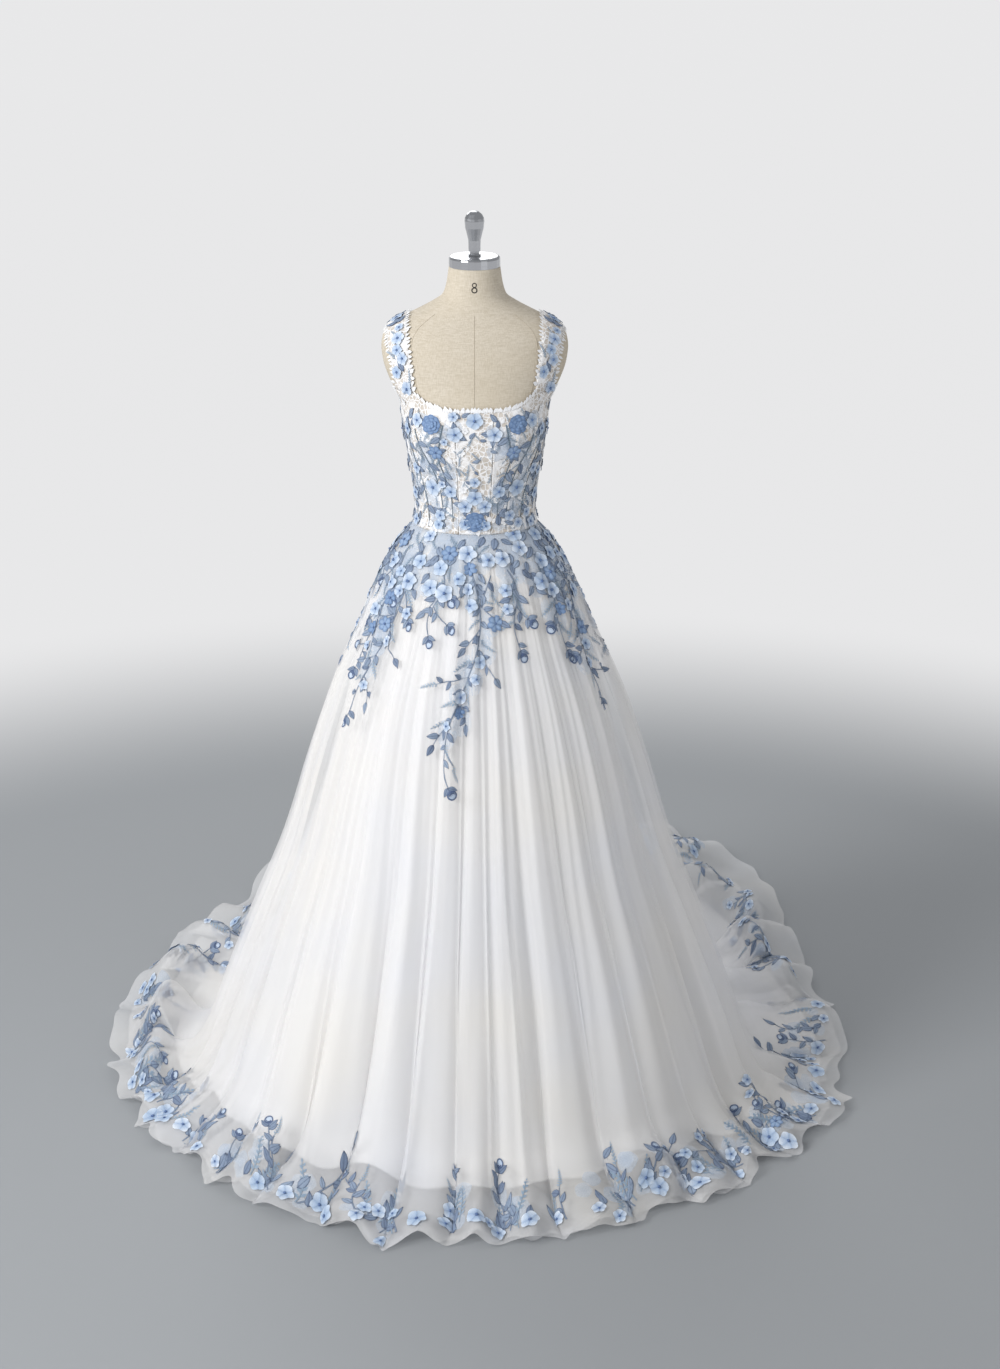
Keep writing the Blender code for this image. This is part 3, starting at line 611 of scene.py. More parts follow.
def declare_sheet(piece, columns, rows, held, **more):
    """Reads a sheet's points into a grid of its own rows and columns, and does nothing more with them."""
    grid = read_points(piece.data).reshape(rows + 1, columns + 1, 3)


def add_wall(piece, thickness):
    """Gives a sheet its thickness, outwards from the side it was laid on."""
    wall = piece.modifiers.new("wall", "SOLIDIFY")
    wall.thickness = thickness
    wall.offset = 1.0
    return wall


# Materials
def srgb(red, green, blue):
    """A colour as Blender keeps it, from values of 0 to 255."""
    return tuple(((c / 255 + 0.055) / 1.055) ** 2.4 for c in (red, green, blue))


def new_material(name, colour, roughness, metallic=0.0, specular=0.5):
    made = bpy.data.materials.new(name)
    made.use_nodes = True
    shader = made.node_tree.nodes["Principled BSDF"]
    shader.inputs["Base Color"].default_value = (*colour, 1)
    shader.inputs["Roughness"].default_value = roughness
    shader.inputs["Metallic"].default_value = metallic
    shader.inputs["Specular IOR Level"].default_value = specular
    return made, made.node_tree, shader


def add_node(tree, kind, **values):
    """A node with its own settings and its sockets set by name."""
    node = tree.nodes.new(kind)
    for name, value in values.items():
        if hasattr(node, name):
            setattr(node, name, value)
        else:
            node.inputs[name].default_value = value
    return node


def mix_colours(tree, factor, first, second, mode="MIX"):
    """A colour mix; factor, first and second are sockets, colours or numbers."""
    node = tree.nodes.new("ShaderNodeMix")
    node.data_type = "RGBA"
    node.blend_type = mode
    for socket, value in zip((node.inputs[0], node.inputs[6], node.inputs[7]), (factor, first, second)):
        if isinstance(value, bpy.types.NodeSocket):
            tree.links.new(value, socket)
        elif isinstance(value, tuple):
            socket.default_value = (*value, 1)
        else:
            socket.default_value = value
    return node.outputs[2]


def spread_value(tree, value, low, high, out_low, out_high):
    node = add_node(tree, "ShaderNodeMapRange")
    tree.links.new(value, node.inputs[0])
    for k, number in enumerate((low, high, out_low, out_high)):
        node.inputs[k + 1].default_value = number
    return node.outputs[0]


def own_place(tree):
    return tree.nodes.new("ShaderNodeTexCoord").outputs["Object"]


def noise(tree, scale, stretch=(1, 1, 1)):
    place = own_place(tree)
    if stretch != (1, 1, 1):
        mapping = add_node(tree, "ShaderNodeMapping", Scale=stretch)
        tree.links.new(place, mapping.inputs[0])
        place = mapping.outputs[0]
    node = add_node(tree, "ShaderNodeTexNoise", Scale=scale, Detail=2.0, Roughness=0.5)
    tree.links.new(place, node.inputs["Vector"])
    return node.outputs["Fac"]


def mottle(tree, scale, low=0.3, high=0.7, out_low=0.0, out_high=1.0, stretch=(1, 1, 1)):
    """Soft uneven patches, from out_low to out_high."""
    return spread_value(tree, noise(tree, scale, stretch), low, high, out_low, out_high)


def combine(tree, operation, first, second):
    node = add_node(tree, "ShaderNodeMath", operation=operation)
    tree.links.new(first, node.inputs[0])
    tree.links.new(second, node.inputs[1])
    return node.outputs[0]


def add_bump(tree, shader, height, strength, distance):
    node = add_node(tree, "ShaderNodeBump", Strength=strength, Distance=distance)
    tree.links.new(height, node.inputs["Height"])
    tree.links.new(node.outputs["Normal"], shader.inputs["Normal"])


def attribute(tree, name):
    node = tree.nodes.new("ShaderNodeAttribute")
    node.attribute_name = name
    return node.outputs["Fac"]


def tulle_material(settings):
    made, tree, shader = new_material("tulle_net", srgb(248, 248, 250), 0.85, specular=0.1)
    shader.inputs["Alpha"].default_value = settings.tulle_cover
    colour = mix_colours(tree, mottle(tree, 5), settings.tulle_colour[:], srgb(251, 249, 246))
    tree.links.new(colour, shader.inputs["Base Color"])
    return made


def satin_material(settings):
    made, tree, shader = new_material("lining_satin", srgb(250, 249, 247), 0.5, specular=0.3)
    colour = mix_colours(tree, mottle(tree, 3), settings.satin_colour[:], srgb(251, 249, 245))
    tree.links.new(colour, shader.inputs["Base Color"])
    shader.inputs["Sheen Weight"].default_value = 0.15
    add_bump(tree, shader, noise(tree, 900, stretch=(1, 1, 0.2)), 0.12, 0.0004)
    return made


def lace_material():
    """Corded white lace over a skin-coloured base."""
    made, tree, shader = new_material("bodice_lace", srgb(240, 236, 232), 0.75, specular=0.2)
    cells = add_node(tree, "ShaderNodeTexVoronoi", feature="DISTANCE_TO_EDGE", Scale=120.0)
    tree.links.new(own_place(tree), cells.inputs["Vector"])
    cord = spread_value(tree, cells.outputs[0], 0.04, 0.13, 1.0, 0.0)
    raised = combine(tree, "MAXIMUM", cord, mottle(tree, 40, 0.50, 0.64))
    base = mix_colours(tree, mottle(tree, 30, 0.35, 0.65), srgb(200, 192, 182), srgb(216, 209, 201))
    colour = mix_colours(tree, raised, base, srgb(249, 249, 250))
    tree.links.new(colour, shader.inputs["Base Color"])
    add_bump(tree, shader, raised, 0.5, 0.0008)
    return made


def linen_material(settings):
    """Plain linen: crossed slubby threads."""
    made, tree, shader = new_material("form_linen", srgb(205, 193, 172), 0.9, specular=0.15)
    across = noise(tree, 700, stretch=(0.12, 0.12, 1))
    down = noise(tree, 700, stretch=(1, 1, 0.12))
    weave = combine(tree, "ADD", across, down)
    slubs = spread_value(tree, weave, 0.75, 1.25, 0.0, 1.0)
    colour = mix_colours(tree, slubs, srgb(194, 184, 166), settings.linen_colour[:])
    soil = mottle(tree, 9, 0.35, 0.7, 0.0, 0.35)
    tree.links.new(mix_colours(tree, soil, colour, srgb(200, 188, 166)), shader.inputs["Base Color"])
    add_bump(tree, shader, weave, 0.35, 0.0006)
    return made


def floor_material(settings):
    """A plain pale floor that fades to a near-white backdrop round the gown."""
    made, tree, shader = new_material("studio_floor", srgb(188, 190, 193), 0.95, specular=0.1)
    far = add_node(tree, "ShaderNodeVectorMath", operation="LENGTH")
    tree.links.new(own_place(tree), far.inputs[0])
    fade = spread_value(tree, far.outputs["Value"], *BACKDROP_FADE, 0.0, 1.0)
    fade.node.interpolation_type = "SMOOTHSTEP"
    colour = mix_colours(tree, fade, settings.floor_colour[:], srgb(20, 20, 20))
    tree.links.new(colour, shader.inputs["Base Color"])
    tree.links.new(spread_value(tree, fade, 0, 1, 0.0, 0.83), shader.inputs["Emission Strength"])
    shader.inputs["Emission Color"].default_value = (*srgb(250, 250, 251), 1)
    return made


def metal_material(name, colour, roughness):
    made, tree, shader = new_material(name, colour, roughness, metallic=1.0)
    rough = mottle(tree, 40, out_low=roughness * 0.75, out_high=roughness * 1.35, stretch=(1, 1, 8))
    tree.links.new(rough, shader.inputs["Roughness"])
    return made


def thread_material(name, outline, light, pale, roughness=0.6, cover=1.0):
    """Embroidery or organza: dark where a motif's shade is 0, along outlines and as painted shade between
    petals, in folds and along stems' sides, and paler in some motifs than in others.
    """
    made, tree, shader = new_material(name, light, roughness, specular=0.3)
    inside = mix_colours(tree, attribute(tree, "tint"), light, pale)
    colour = mix_colours(tree, attribute(tree, "shade"), outline, inside)
    grain = mottle(tree, 650, out_low=0.88, out_high=1.06, stretch=(1, 1, 0.4))
    tree.links.new(mix_colours(tree, 1.0, colour, grain, "MULTIPLY"), shader.inputs["Base Color"])
    shader.inputs["Sheen Weight"].default_value = 0.1
    shader.inputs["Alpha"].default_value = cover
    add_bump(tree, shader, noise(tree, 1500), 0.25, 0.0004)
    return made


# Threads: material, outline (on flowers, roses and stems also the painted shade), inside (on stems also the
# painted highlight), pale inside, roughness and cover
THREADS = {
    "leaf": ("slate_thread", (66, 80, 108), (120, 136, 162), (150, 166, 188), 0.6, 1.0),
    "stem": ("stem_thread", (98, 114, 138), (132, 146, 168), (148, 160, 178), 0.6, 1.0),
    "twig": ("twig_thread", (130, 150, 170), (156, 176, 196), (186, 204, 222), 0.65, 1.0),
    "bud": ("bud_thread", (86, 104, 138), (206, 220, 238), (190, 207, 229), 0.6, 1.0),
    "pale_flower": ("pale_organza", (150, 176, 210), (208, 222, 238), (230, 237, 246), 0.6, 1.0),
    "dark_flower": ("dark_organza", (88, 116, 160), (128, 156, 194), (160, 184, 214), 0.6, 1.0),
    "eye": ("beads", (96, 122, 168), (132, 156, 194), (158, 178, 210), 0.3, 1.0),
    "patch": ("pale_patch", (206, 220, 238), (214, 226, 242), (228, 236, 246), 0.8, 0.38),
    "lace": ("white_cord", (236, 238, 242), (250, 250, 251), (252, 252, 252), 0.6, 1.0),
    "seam": ("seam_thread", (176, 165, 146), (190, 179, 160), (196, 186, 168), 0.8, 1.0),
    "numeral": ("numeral_print", (52, 50, 48), (58, 56, 54), (60, 58, 56), 0.7, 1.0),
    "vine": ("vine_thread", (80, 98, 114), (112, 130, 144), (128, 144, 156), 0.6, 1.0),
}


def thread(name):
    """The material of a thread, made the first time it is asked for."""
    label, outline, inside, pale, roughness, cover = THREADS[name]
    chosen = getattr(bpy.context.scene.gown, name + "_colour", None)
    inside = chosen[:] if chosen else srgb(*inside)
    return finish_of(label, thread_material, label, srgb(*outline), inside, srgb(*pale), roughness, cover)


def finish_of(name, make, *arguments):
    """The material of that name, made the first time it is asked for."""
    return bpy.data.materials.get(name) or make(*arguments)


# The sewn-on sprays: motifs drawn flat in metres, then laid on the cloth
class SkirtChart:
    """Flat metres on the skirt round one place: x to the right and y up."""

    def __init__(self, angle, row):
        rows = np.linspace(0, ROWS, 20 * ROWS + 1)
        here, aside = (between_rows(skirt_rings(np.full(len(rows), angle + a)), rows) for a in (0.0, 1.0))
        steps = np.linalg.norm(np.diff(tulle(np.full(len(rows), angle), rows), axis=0), axis=1)
        self.rows = rows
        self.length = np.concatenate([[0], steps.cumsum()])
        self.spread = np.maximum(np.linalg.norm(aside - here, axis=1), 0.0012)
        self.angle = angle
        self.start = np.interp(row, rows, self.length)

    def spots(self, x, y):
        at = self.start - y
        return self.angle + x / np.interp(at, self.length, self.spread), np.interp(at, self.length, self.rows)

    def round_spot(self, x, y, across, up):
        """Places round one spot, measured along the folded cloth so that a motif keeps its size."""
        angle, row = self.spots(np.array([x]), np.array([y]))
        reach = 1.3 * np.abs(across).max() / np.interp(self.start - y, self.length, self.spread)
        turns = np.linspace(-reach, reach, 33)
        steps = np.linalg.norm(np.diff(tulle(angle + turns, np.full(33, row[0])), axis=0), axis=1)
        run = np.concatenate([[0], steps.cumsum()])
        turn = np.interp(across, run - run[16], turns)
        return angle + turn, self.spots(x + across, y + up)[1]


class Chart:
    """Flat metres on a piece without folds: x to the right and y up."""

    def round_spot(self, x, y, across, up):
        return self.spots(x + across, y + up)


class BodiceChart(Chart):
    """Flat metres on the bodice round one place."""

    def __init__(self, angle, height):
        ends = body(np.array([angle - 0.5, angle + 0.5]), np.array([height, height]))
        self.spread = np.linalg.norm(ends[1] - ends[0])
        self.angle = angle
        self.height = height

    def spots(self, x, y):
        return self.angle + x / self.spread, self.height + y


class StrapChart(Chart):
    """Flat metres on the right-hand strap: x outwards and y from its front foot over the shoulder."""

    def spots(self, x, y):
        return 0.5 + x / STRAP_WIDTH, y / (STRAP_LENGTH / 2) - 1


def lay_on_tulle(angle, row, lift):
    point = tulle(angle, row)
    across = tulle(angle + 0.3, row) - tulle(angle - 0.3, row)
    down = tulle(angle, row + 0.04) - tulle(angle, row - 0.04)
    point += unit(np.cross(down, across)) * lift[:, None]
    point[:, 2] = np.maximum(point[:, 2], FLOOR_CLEAR + lift * 0.3)
    return point


def lay_on_form(angle, height, lift):
    return body(angle, height, lift)


def lay_on_bodice(angle, height, lift):
    return body(angle, height, EASE + BODICE_WALL + 2 * SEAM_GAP + lift)


def lay_on_strap(across, along, lift):
    return strap(across, along, STRAP_WALL + lift)


def bent_grid(columns, rows, bend):
    """The points of a grid, bent by a rule that takes x and y from 0 to 1 and gives x, y, z, shade."""
    mesh = grid_mesh("motif", columns, rows)
    flat = read_points(mesh)
    values = bend(flat[:, 0] + 0.5, flat[:, 1] + 0.5)
    values = np.stack(np.broadcast_arrays(*values), axis=1)
    write_points(mesh, values[:, :3])
    return mesh, values[:, 3]


def turned_part(part, degrees, move=(0, 0, 0), size=1.0):
    mesh, shade = part
    made = mesh.copy()
    turn = Matrix.Rotation(math.radians(degrees), 4, "Z")
    made.transform(Matrix.Translation(move) @ turn @ Matrix.Scale(size, 4))
    return made, shade


def joined_motif(parts):
    """One motif from several parts, as a mesh and the shade of each of its points."""
    bm = bmesh.new()
    for mesh, _ in parts:
        bm.from_mesh(mesh)
    return finished_mesh(bm, "motif"), np.concatenate([shade for _, shade in parts])


def leaf_part(width=0.27, columns=6, rows=5, outline=0.0):
    """A pointed leaf one metre long from its stalk, with a stitched outline and midrib."""
    def bend(x, y):
        side = 2 * x - 1
        if columns == 6:
            side = np.interp(side, np.linspace(-1, 1, 7), (-1, -0.74, -0.16, 0, 0.16, 0.74, 1))
        half = width * np.sin(np.pi * y ** 0.8) ** 0.85 * (1 - 0.15 * y)
        shade = np.where(np.abs(side) > 0.9, outline, np.where(np.abs(side) < 0.1, 0.3, 1.0))
        rise = 0.25 + 0.75 * (1 - side ** 2) - 0.5 * (np.abs(side) < 0.1)
        return side * half, y, rise, np.where((y < 0.01) | (y > 0.99), outline, shade)

    return bent_grid(columns, rows, bend)


def flower_motif(width, columns=4, rows=3):
    """A flower of round petals, each one metre long from the middle, darker towards the middle and with
    painted shade along each petal's sides.
    """
    def bend(x, y):
        side = 2 * x - 1
        along = 0.10 + 0.90 * y * (1 - 0.27 * side ** 2 * y ** 2)
        half = width * (0.16 + 0.84 * np.sin(np.pi * 0.60 * y) ** 0.9) * (1 - 0.14 * y ** 4)
        rise = 0.35 + 0.5 * y ** 1.6 + 0.30 * side ** 2 - 0.25 * (1 - side ** 2) * y
        # shade: darker towards the middle, as the flower's own colour, times painted shade along each petal's
        # sides where it meets the next
        return side * half, along, rise, (0.15 + 0.85 * y ** 1.3) * (1 - 0.45 * side ** 4)

    petal = bent_grid(columns, rows, bend)
    return joined_motif([turned_part(petal, 360 * k / PETALS) for k in range(PETALS)])


def disc_part(lobes, depth, size=1.0, rise=0.0, turned=0.0, rows=4):
    """A round layer of petals that are joined almost to their tips, with a dark outline along its edge and
    painted shade in the folds between its petals.
    """
    def bend(x, y):
        turn = 2 * np.pi * x
        lobe = np.abs(np.cos(lobes * turn / 2))
        radius = size * (0.04 + 0.96 * y) * (1 - depth * y * (1 - lobe ** 0.6))
        # shade: a dark outline at the rim, and painted shade that darkens the folds between the lobes
        shade = np.where(y > 0.9, 0.25, 0.35 + 0.65 * lobe ** 0.5)
        high = rise + 0.25 + 0.55 * y * lobe
        return radius * np.cos(turned - turn), radius * np.sin(turned - turn), high, shade

    return bent_grid(lobes * 4, rows, bend)


def rose_motif():
    """A round flat rose of three layers of petals."""
    return joined_motif([disc_part(8, 0.10), disc_part(6, 0.12, 0.70, 0.45, 0.3),
                         disc_part(5, 0.14, 0.40, 0.9, 0.7)])


def ring_part(inner, outer, segments, start=0, end=360):
    def bend(x, y):
        turn = np.radians(start + (end - start) * x)
        radius = outer + (inner - outer) * y
        return radius * np.cos(turn), radius * np.sin(turn), 0.6 + 0.4 * (y > 0), 0.0

    return bent_grid(segments, 1, bend)


def bead_part():
    bm = bmesh.new()
    bmesh.ops.create_uvsphere(bm, u_segments=6, v_segments=3, radius=1)
    bmesh.ops.translate(bm, verts=bm.verts, vec=(0, 0, 1))
    mesh = finished_mesh(bm, "bead")
    return mesh, np.zeros(len(mesh.vertices))


def dome_part():
    bm = bmesh.new()
    bmesh.ops.create_circle(bm, cap_ends=True, segments=10, radius=0.9)
    bmesh.ops.poke(bm, faces=bm.faces, offset=0.5)
    mesh = finished_mesh(bm, "dome")
    return mesh, np.ones(len(mesh.vertices))


def bud_motif():
    """A rosebud as the embroidery shows it: a round outline, a pale cheek, a curled petal and a calyx."""
    spike = leaf_part(width=0.30, columns=2, rows=2)
    parts = [
        turned_part(dome_part(), 0, (0, 1.0, 0.2)),
        turned_part(ring_part(0.74, 1.0, 14), 0, (0, 1.0, 0.3)),
        turned_part(ring_part(0.50, 0.66, 6, 200, 330), 0, (0, 1.15, 0.5)),
        turned_part(ring_part(0.78, 0.98, 4, 225, 315), 0, (0, 1.22, 0.6)),
    ]
    for lean in (-52, 0, 52):
        parts.append(turned_part(spike, lean, (0, -0.28, 0.4), 0.85))
    return joined_motif(parts)


def twig_motif():
    """A fine twig with small narrow leaves in pairs."""
    leaf = leaf_part(width=0.24, columns=2, rows=2, outline=0.4)

    def stalk(x, y):
        return (x - 0.5) * 0.030 + 0.06 * np.sin(3 * y), y, 0.6 + 0 * x, 0.2

    parts = [bent_grid(1, 5, stalk)]
    for k in range(6):
        along = 0.16 + 0.145 * k
        for side in (-1, 1):
            place = (0.06 * math.sin(3 * along), along + 0.03 * side, 0.2)
            parts.append(turned_part(leaf, -side * (50 - 3 * k), place, 0.20 - 0.013 * k))
    parts.append(turned_part(leaf, 0, (0.06 * math.sin(3), 1.0, 0.2), 0.14))
    return joined_motif(parts)


def patch_motif():
    """A flat, soft-edged petal of pale organza."""
    def bend(x, y):
        turn = 2 * np.pi * x
        radius = (0.02 + 0.98 * y) * (0.86 + 0.14 * np.abs(np.cos(2.5 * turn)))
        return radius * np.cos(-turn), radius * np.sin(-turn), 0.5 + 0 * x, y

    return bent_grid(15, 3, bend)


def make_motifs():
    """Every motif, each made once."""
    return {
        "leaf": leaf_part(),
        "lace_leaf": leaf_part(width=0.30, columns=2, rows=3, outline=0.6),
        "flower": flower_motif(0.51),
        "star": disc_part(6, 0.26, rows=3),
        "small": flower_motif(0.50, columns=2, rows=2),
        "rose": rose_motif(),
        "bead": bead_part(),
        "bud": bud_motif(),
        "twig": twig_motif(),
        "patch": patch_motif(),
    }


# Needlework: where each motif goes
class Needlework:
    """Motifs and stems waiting to be sewn, gathered by the thread they are worked in."""

    def __init__(self, motifs, lay, seed):
        self.motifs = motifs
        self.lay = lay
        self.random = random.Random(seed)
        self.work = {}
        self.blooms = []

    def put(self, thread, motif, chart, x, y, heading, size, lift=0.0006, rise=0.0012, tint=None):
        """Lays a motif with its stalk at x, y and its tip towards heading, in degrees from the right."""
        mesh, shade = self.motifs[motif]
        points = read_points(mesh)
        turn = math.radians(heading - 90)
        across = size * (points[:, 0] * math.cos(turn) - points[:, 1] * math.sin(turn))
        up = size * (points[:, 0] * math.sin(turn) + points[:, 1] * math.cos(turn))
        a, b = chart.round_spot(x, y, across, up)
        tint = self.random.random() if tint is None else tint
        self.work.setdefault(thread, []).append(
            (mesh, a, b, lift + rise * points[:, 2], shade, np.full(len(a), tint)))

    def leaf(self, chart, x, y, heading, size, **more):
        self.put("leaf", "leaf", chart, x, y, heading, size, **more)

    def twig(self, chart, x, y, heading, size):
        self.put("twig", "twig", chart, x, y, heading, size)

    def patch(self, chart, x, y, heading, size, lift=PATCH_LIFT):
        self.put("patch", "patch", chart, x, y, heading, size, lift=lift, rise=0.0003)

    def has_room(self, chart, x, y, size):
        """Whether a flower there keeps clear of those already sewn; if so its place is kept."""
        a, b = chart.spots(np.array([x]), np.array([y]))
        here = self.lay(a, b, np.zeros(1))[0]
        if any(np.linalg.norm(here - other) < 0.80 * (size + wide) for other, wide in self.blooms):
            return False
        self.blooms.append((here, size))
        return True

    def stem(self, thread, chart, path, width, lift=0.0007, tint=0.5):
        """Lays a corded stem along a path of points, with a painted highlight along its raised middle and
        painted shade along its sides.
        """
        path = np.asarray(path, float)
        count = max(len(path) - 1, 2)
        mesh = grid_mesh("stem", 2, count)
        flat = read_points(mesh)
        at = (flat[:, 1] + 0.5) * (len(path) - 1)
        middle = np.stack([np.interp(at, np.arange(len(path)), path[:, k]) for k in (0, 1)], axis=1)
        run = np.gradient(path, axis=0)
        way = unit(np.stack([np.interp(at, np.arange(len(path)), run[:, k]) for k in (0, 1)], axis=1))
        taper = width * (1 - 0.4 * (flat[:, 1] + 0.5))
        side = flat[:, 0:1] * taper[:, None]
        spot = middle + np.stack([way[:, 1], -way[:, 0]], axis=1) * side
        a, b = chart.spots(spot[:, 0], spot[:, 1])
        high = lift + 0.0008 * (np.abs(flat[:, 0]) < 0.1)
        # shade: painted highlight along the cord's raised middle, painted shade along its sides
        shade = np.where(np.abs(flat[:, 0]) < 0.1, 0.8, 0.2)
        self.work.setdefault(thread, []).append((mesh, a, b, high, shade, np.full(len(a), tint)))

    def sew(self, name, thread, material, slot, nodes=()):
        """Makes one piece of everything that waits in a thread."""
        waiting = self.work.pop(thread)
        bm = bmesh.new()
        for mesh, *_ in waiting:
            bm.from_mesh(mesh)
        made = finished_mesh(bm, name)
        a, b, lift, shade, tint = (np.concatenate([line[k] for line in waiting]) for k in range(1, 6))
        write_points(made, self.lay(a, b, lift))
        for label, values in (("shade", shade), ("tint", tint)):
            made.attributes.new(label, "FLOAT", "POINT").data.foreach_set("value", values.astype(np.float32))
        return add_piece(name, made, material, nodes)


def walk(chance, x, y, heading, length, bend):
    """A gently wandering path from a point."""
    path = [(x, y)]
    headings = [heading]
    lean = chance.uniform(-1, 1) * bend
    for k in range(max(int(length / STITCH_STEP), 2)):
        if k % 6 == 5:
            lean = chance.uniform(-1, 1) * bend
        heading += lean
        x += STITCH_STEP * math.cos(math.radians(heading))
        y += STITCH_STEP * math.sin(math.radians(heading))
        path.append((x, y))
        headings.append(heading)
    return path, headings


def leafy_branch(work, chart, x, y, heading, length, tip, size=0.022):
    """A stem with leaves on both sides and a bud, leaf or flower at its tip."""
    chance = work.random
    path, headings = walk(chance, x, y, heading, length, 5)
    work.stem("stem", chart, path, 0.0022, tint=chance.random())
    side = chance.choice((-1, 1))
    for k in range(2, len(path) - 1, 3):
        side = -side
        if chance.random() < 0.85:
            work.leaf(chart, *path[k], headings[k] + side * chance.uniform(38, 60),
                      size * chance.uniform(0.75, 1.1))
    end, last = path[-1], headings[-1]
    if tip == "bud":
        for lean in (-48, 48):
            work.leaf(chart, *path[-2], last + lean, size * 0.85)
        work.put("bud", "bud", chart, *end, last, 0.0088, rise=0.0012)
    elif tip == "leaf":
        work.leaf(chart, *end, last, size * 1.05)
    elif tip == "flower":
        flower(work, chart, *end, chance.uniform(0.010, 0.014))
    elif tip == "twig":
        work.twig(chart, *end, last, chance.uniform(0.028, 0.04))


def flower(work, chart, x, y, size, dark=False, lift=0.0012):
    """A flower with a beaded eye, where there is room for one."""
    chance = work.random
    if not work.has_room(chart, x, y, size):
        return
    thread = "dark_flower" if dark else "pale_flower"
    motif = "star" if dark else ("flower" if size > 0.012 else "small")
    work.put(thread, motif, chart, x, y, chance.uniform(0, 360), size, lift=lift, rise=0.0022)
    work.put("eye", "bead", chart, x, y, 0, size * 0.20, lift=lift + 0.001, rise=0.0012)


def hanging_spray(work, angle, row, length, sway, lean):
    """A long spray that hangs down the skirt: flowers at its head, leaves and twigs to its tip."""
    chance = work.random
    chart = SkirtChart(angle, row)
    count = int(length / STITCH_STEP)
    along = np.arange(count + 1) * STITCH_STEP
    side = lean * along + sway * np.sin(along / length * 5.2)
    path = np.stack([side, -along], axis=1)
    work.stem("stem", chart, path, 0.0026)
    headings = np.degrees(np.arctan2(-STITCH_STEP, np.gradient(side)))
    turn = out = 1
    for k in range(3, count - 3):
        x, y = path[k]
        done = k / count
        if k % 4 == 0:
            turn = -turn
            work.leaf(chart, x, y, headings[k] + turn * chance.uniform(40, 65),
                      chance.uniform(0.018, 0.025))
        if k % 5 == 2 and chance.random() < 0.88 - 0.35 * done:
            aside = turn * chance.uniform(0.004, 0.030) * (1.2 - done)
            flower(work, chart, x + aside, y + chance.uniform(-0.006, 0.006),
                   chance.uniform(0.010, 0.0175 - 0.005 * done), dark=chance.random() < 0.15)
        if k % 7 == 4:
            out = -out
            leafy_branch(work, chart, x, y, headings[k] + out * chance.uniform(30, 60),
                         chance.uniform(0.035, 0.065) * (1.15 - 0.4 * done),
                         chance.choice(("leaf", "leaf", "bud", "twig")))
        if k % 6 == 3:
            work.twig(chart, x, y, headings[k] - out * chance.uniform(25, 60),
                      chance.uniform(0.028, 0.044))
        if k % 4 == 1 and done < 0.85:
            work.patch(chart, x + chance.uniform(-0.020, 0.020), y, chance.uniform(0, 360),
                       chance.uniform(0.018, 0.028))
    leafy_branch(work, chart, *path[-1], headings[-1], 0.03, "bud")


# How deep the yoke of flowers reaches below the waist, round the body
YOKE_ANGLES = (-180, -120, -90, -60, -42, -24, 0, 24, 42, 60, 90, 120, 180)
YOKE_DEPTHS = (0.075, 0.08, 0.10, 0.135, 0.10, 0.075, 0.13, 0.09, 0.095, 0.135, 0.10, 0.08, 0.075)


def waist_yoke(work):
    """Flowers, leaves and twigs below the waist, deeper in some places than in others."""
    chance = work.random
    for number in range(YOKE_STRANDS):
        angle = -180 + 360 * (number + chance.random()) / YOKE_STRANDS
        deep = float(np.interp(angle, YOKE_ANGLES, YOKE_DEPTHS)) + chance.uniform(-0.02, 0.02)
        chart = SkirtChart(angle, 0.25)
        y = chance.uniform(-0.004, 0.009)
        while y > -deep:
            x = chance.uniform(-0.008, 0.008)
            pick = chance.random()
            if pick < 0.30:
                flower(work, chart, x, y, chance.uniform(0.0125, 0.0175), dark=chance.random() < 0.24,
                       lift=chance.uniform(0.0010, 0.0024))
            elif pick < 0.66:
                work.leaf(chart, x, y, chance.uniform(215, 325), chance.uniform(0.020, 0.028),
                          lift=chance.uniform(0.0006, 0.0014))
            elif pick < 0.88:
                work.twig(chart, x, y, chance.uniform(225, 315), chance.uniform(0.022, 0.036))
            else:
                leafy_branch(work, chart, x, y, chance.uniform(245, 295), chance.uniform(0.02, 0.045),
                             chance.choice(("leaf", "bud", "flower")))
            if chance.random() < 0.75:
                work.patch(chart, x, y, chance.uniform(0, 360), chance.uniform(0.014, 0.026))
            y -= chance.uniform(0.016, 0.030)


def hem_spray(work, angle, strong):
    """A spray that stands on the hem: flowers at its foot, leafy stems and buds above."""
    chance = work.random
    chart = SkirtChart(angle, chance.uniform(11.25, 11.6))
    for _ in range(chance.choice((2, 2, 3)) if strong else 1):
        length = chance.uniform(0.065, 0.135) if strong else chance.uniform(0.04, 0.08)
        leafy_branch(work, chart, chance.uniform(-0.022, 0.022), 0.004, 90 + chance.uniform(-20, 20), length,
                     chance.choice(("bud", "bud", "leaf", "twig", "flower")), size=0.027)
    for _ in range(3 if strong else 1):
        work.twig(chart, chance.uniform(-0.034, 0.034), chance.uniform(0.0, 0.02),
                  90 + chance.uniform(-32, 32), chance.uniform(0.045, 0.075))
        work.leaf(chart, chance.uniform(-0.03, 0.03), chance.uniform(0.0, 0.03),
                  90 + chance.uniform(-50, 50), chance.uniform(0.026, 0.036))
    for _ in range(4 if strong else 2):
        flower(work, chart, chance.uniform(-0.042, 0.042), chance.uniform(-0.012, 0.040),
               chance.uniform(0.012, 0.018), dark=chance.random() < 0.06, lift=0.0016)
    if strong:
        for _ in range(6):
            work.patch(chart, chance.uniform(-0.035, 0.035), chance.uniform(0.0, 0.08),
                       chance.uniform(0, 360), chance.uniform(0.013, 0.023))


def hem_band(work):
    """Sprays all the way round the hem, closer and taller in some places than in others."""
    chance = work.random
    angle = -180.0
    while angle < 180.0:
        reach = float(hem_value("tulle", angle))
        hem_spray(work, angle, chance.random() < 0.74)
        angle += math.degrees(chance.uniform(0.066, 0.106) / reach)


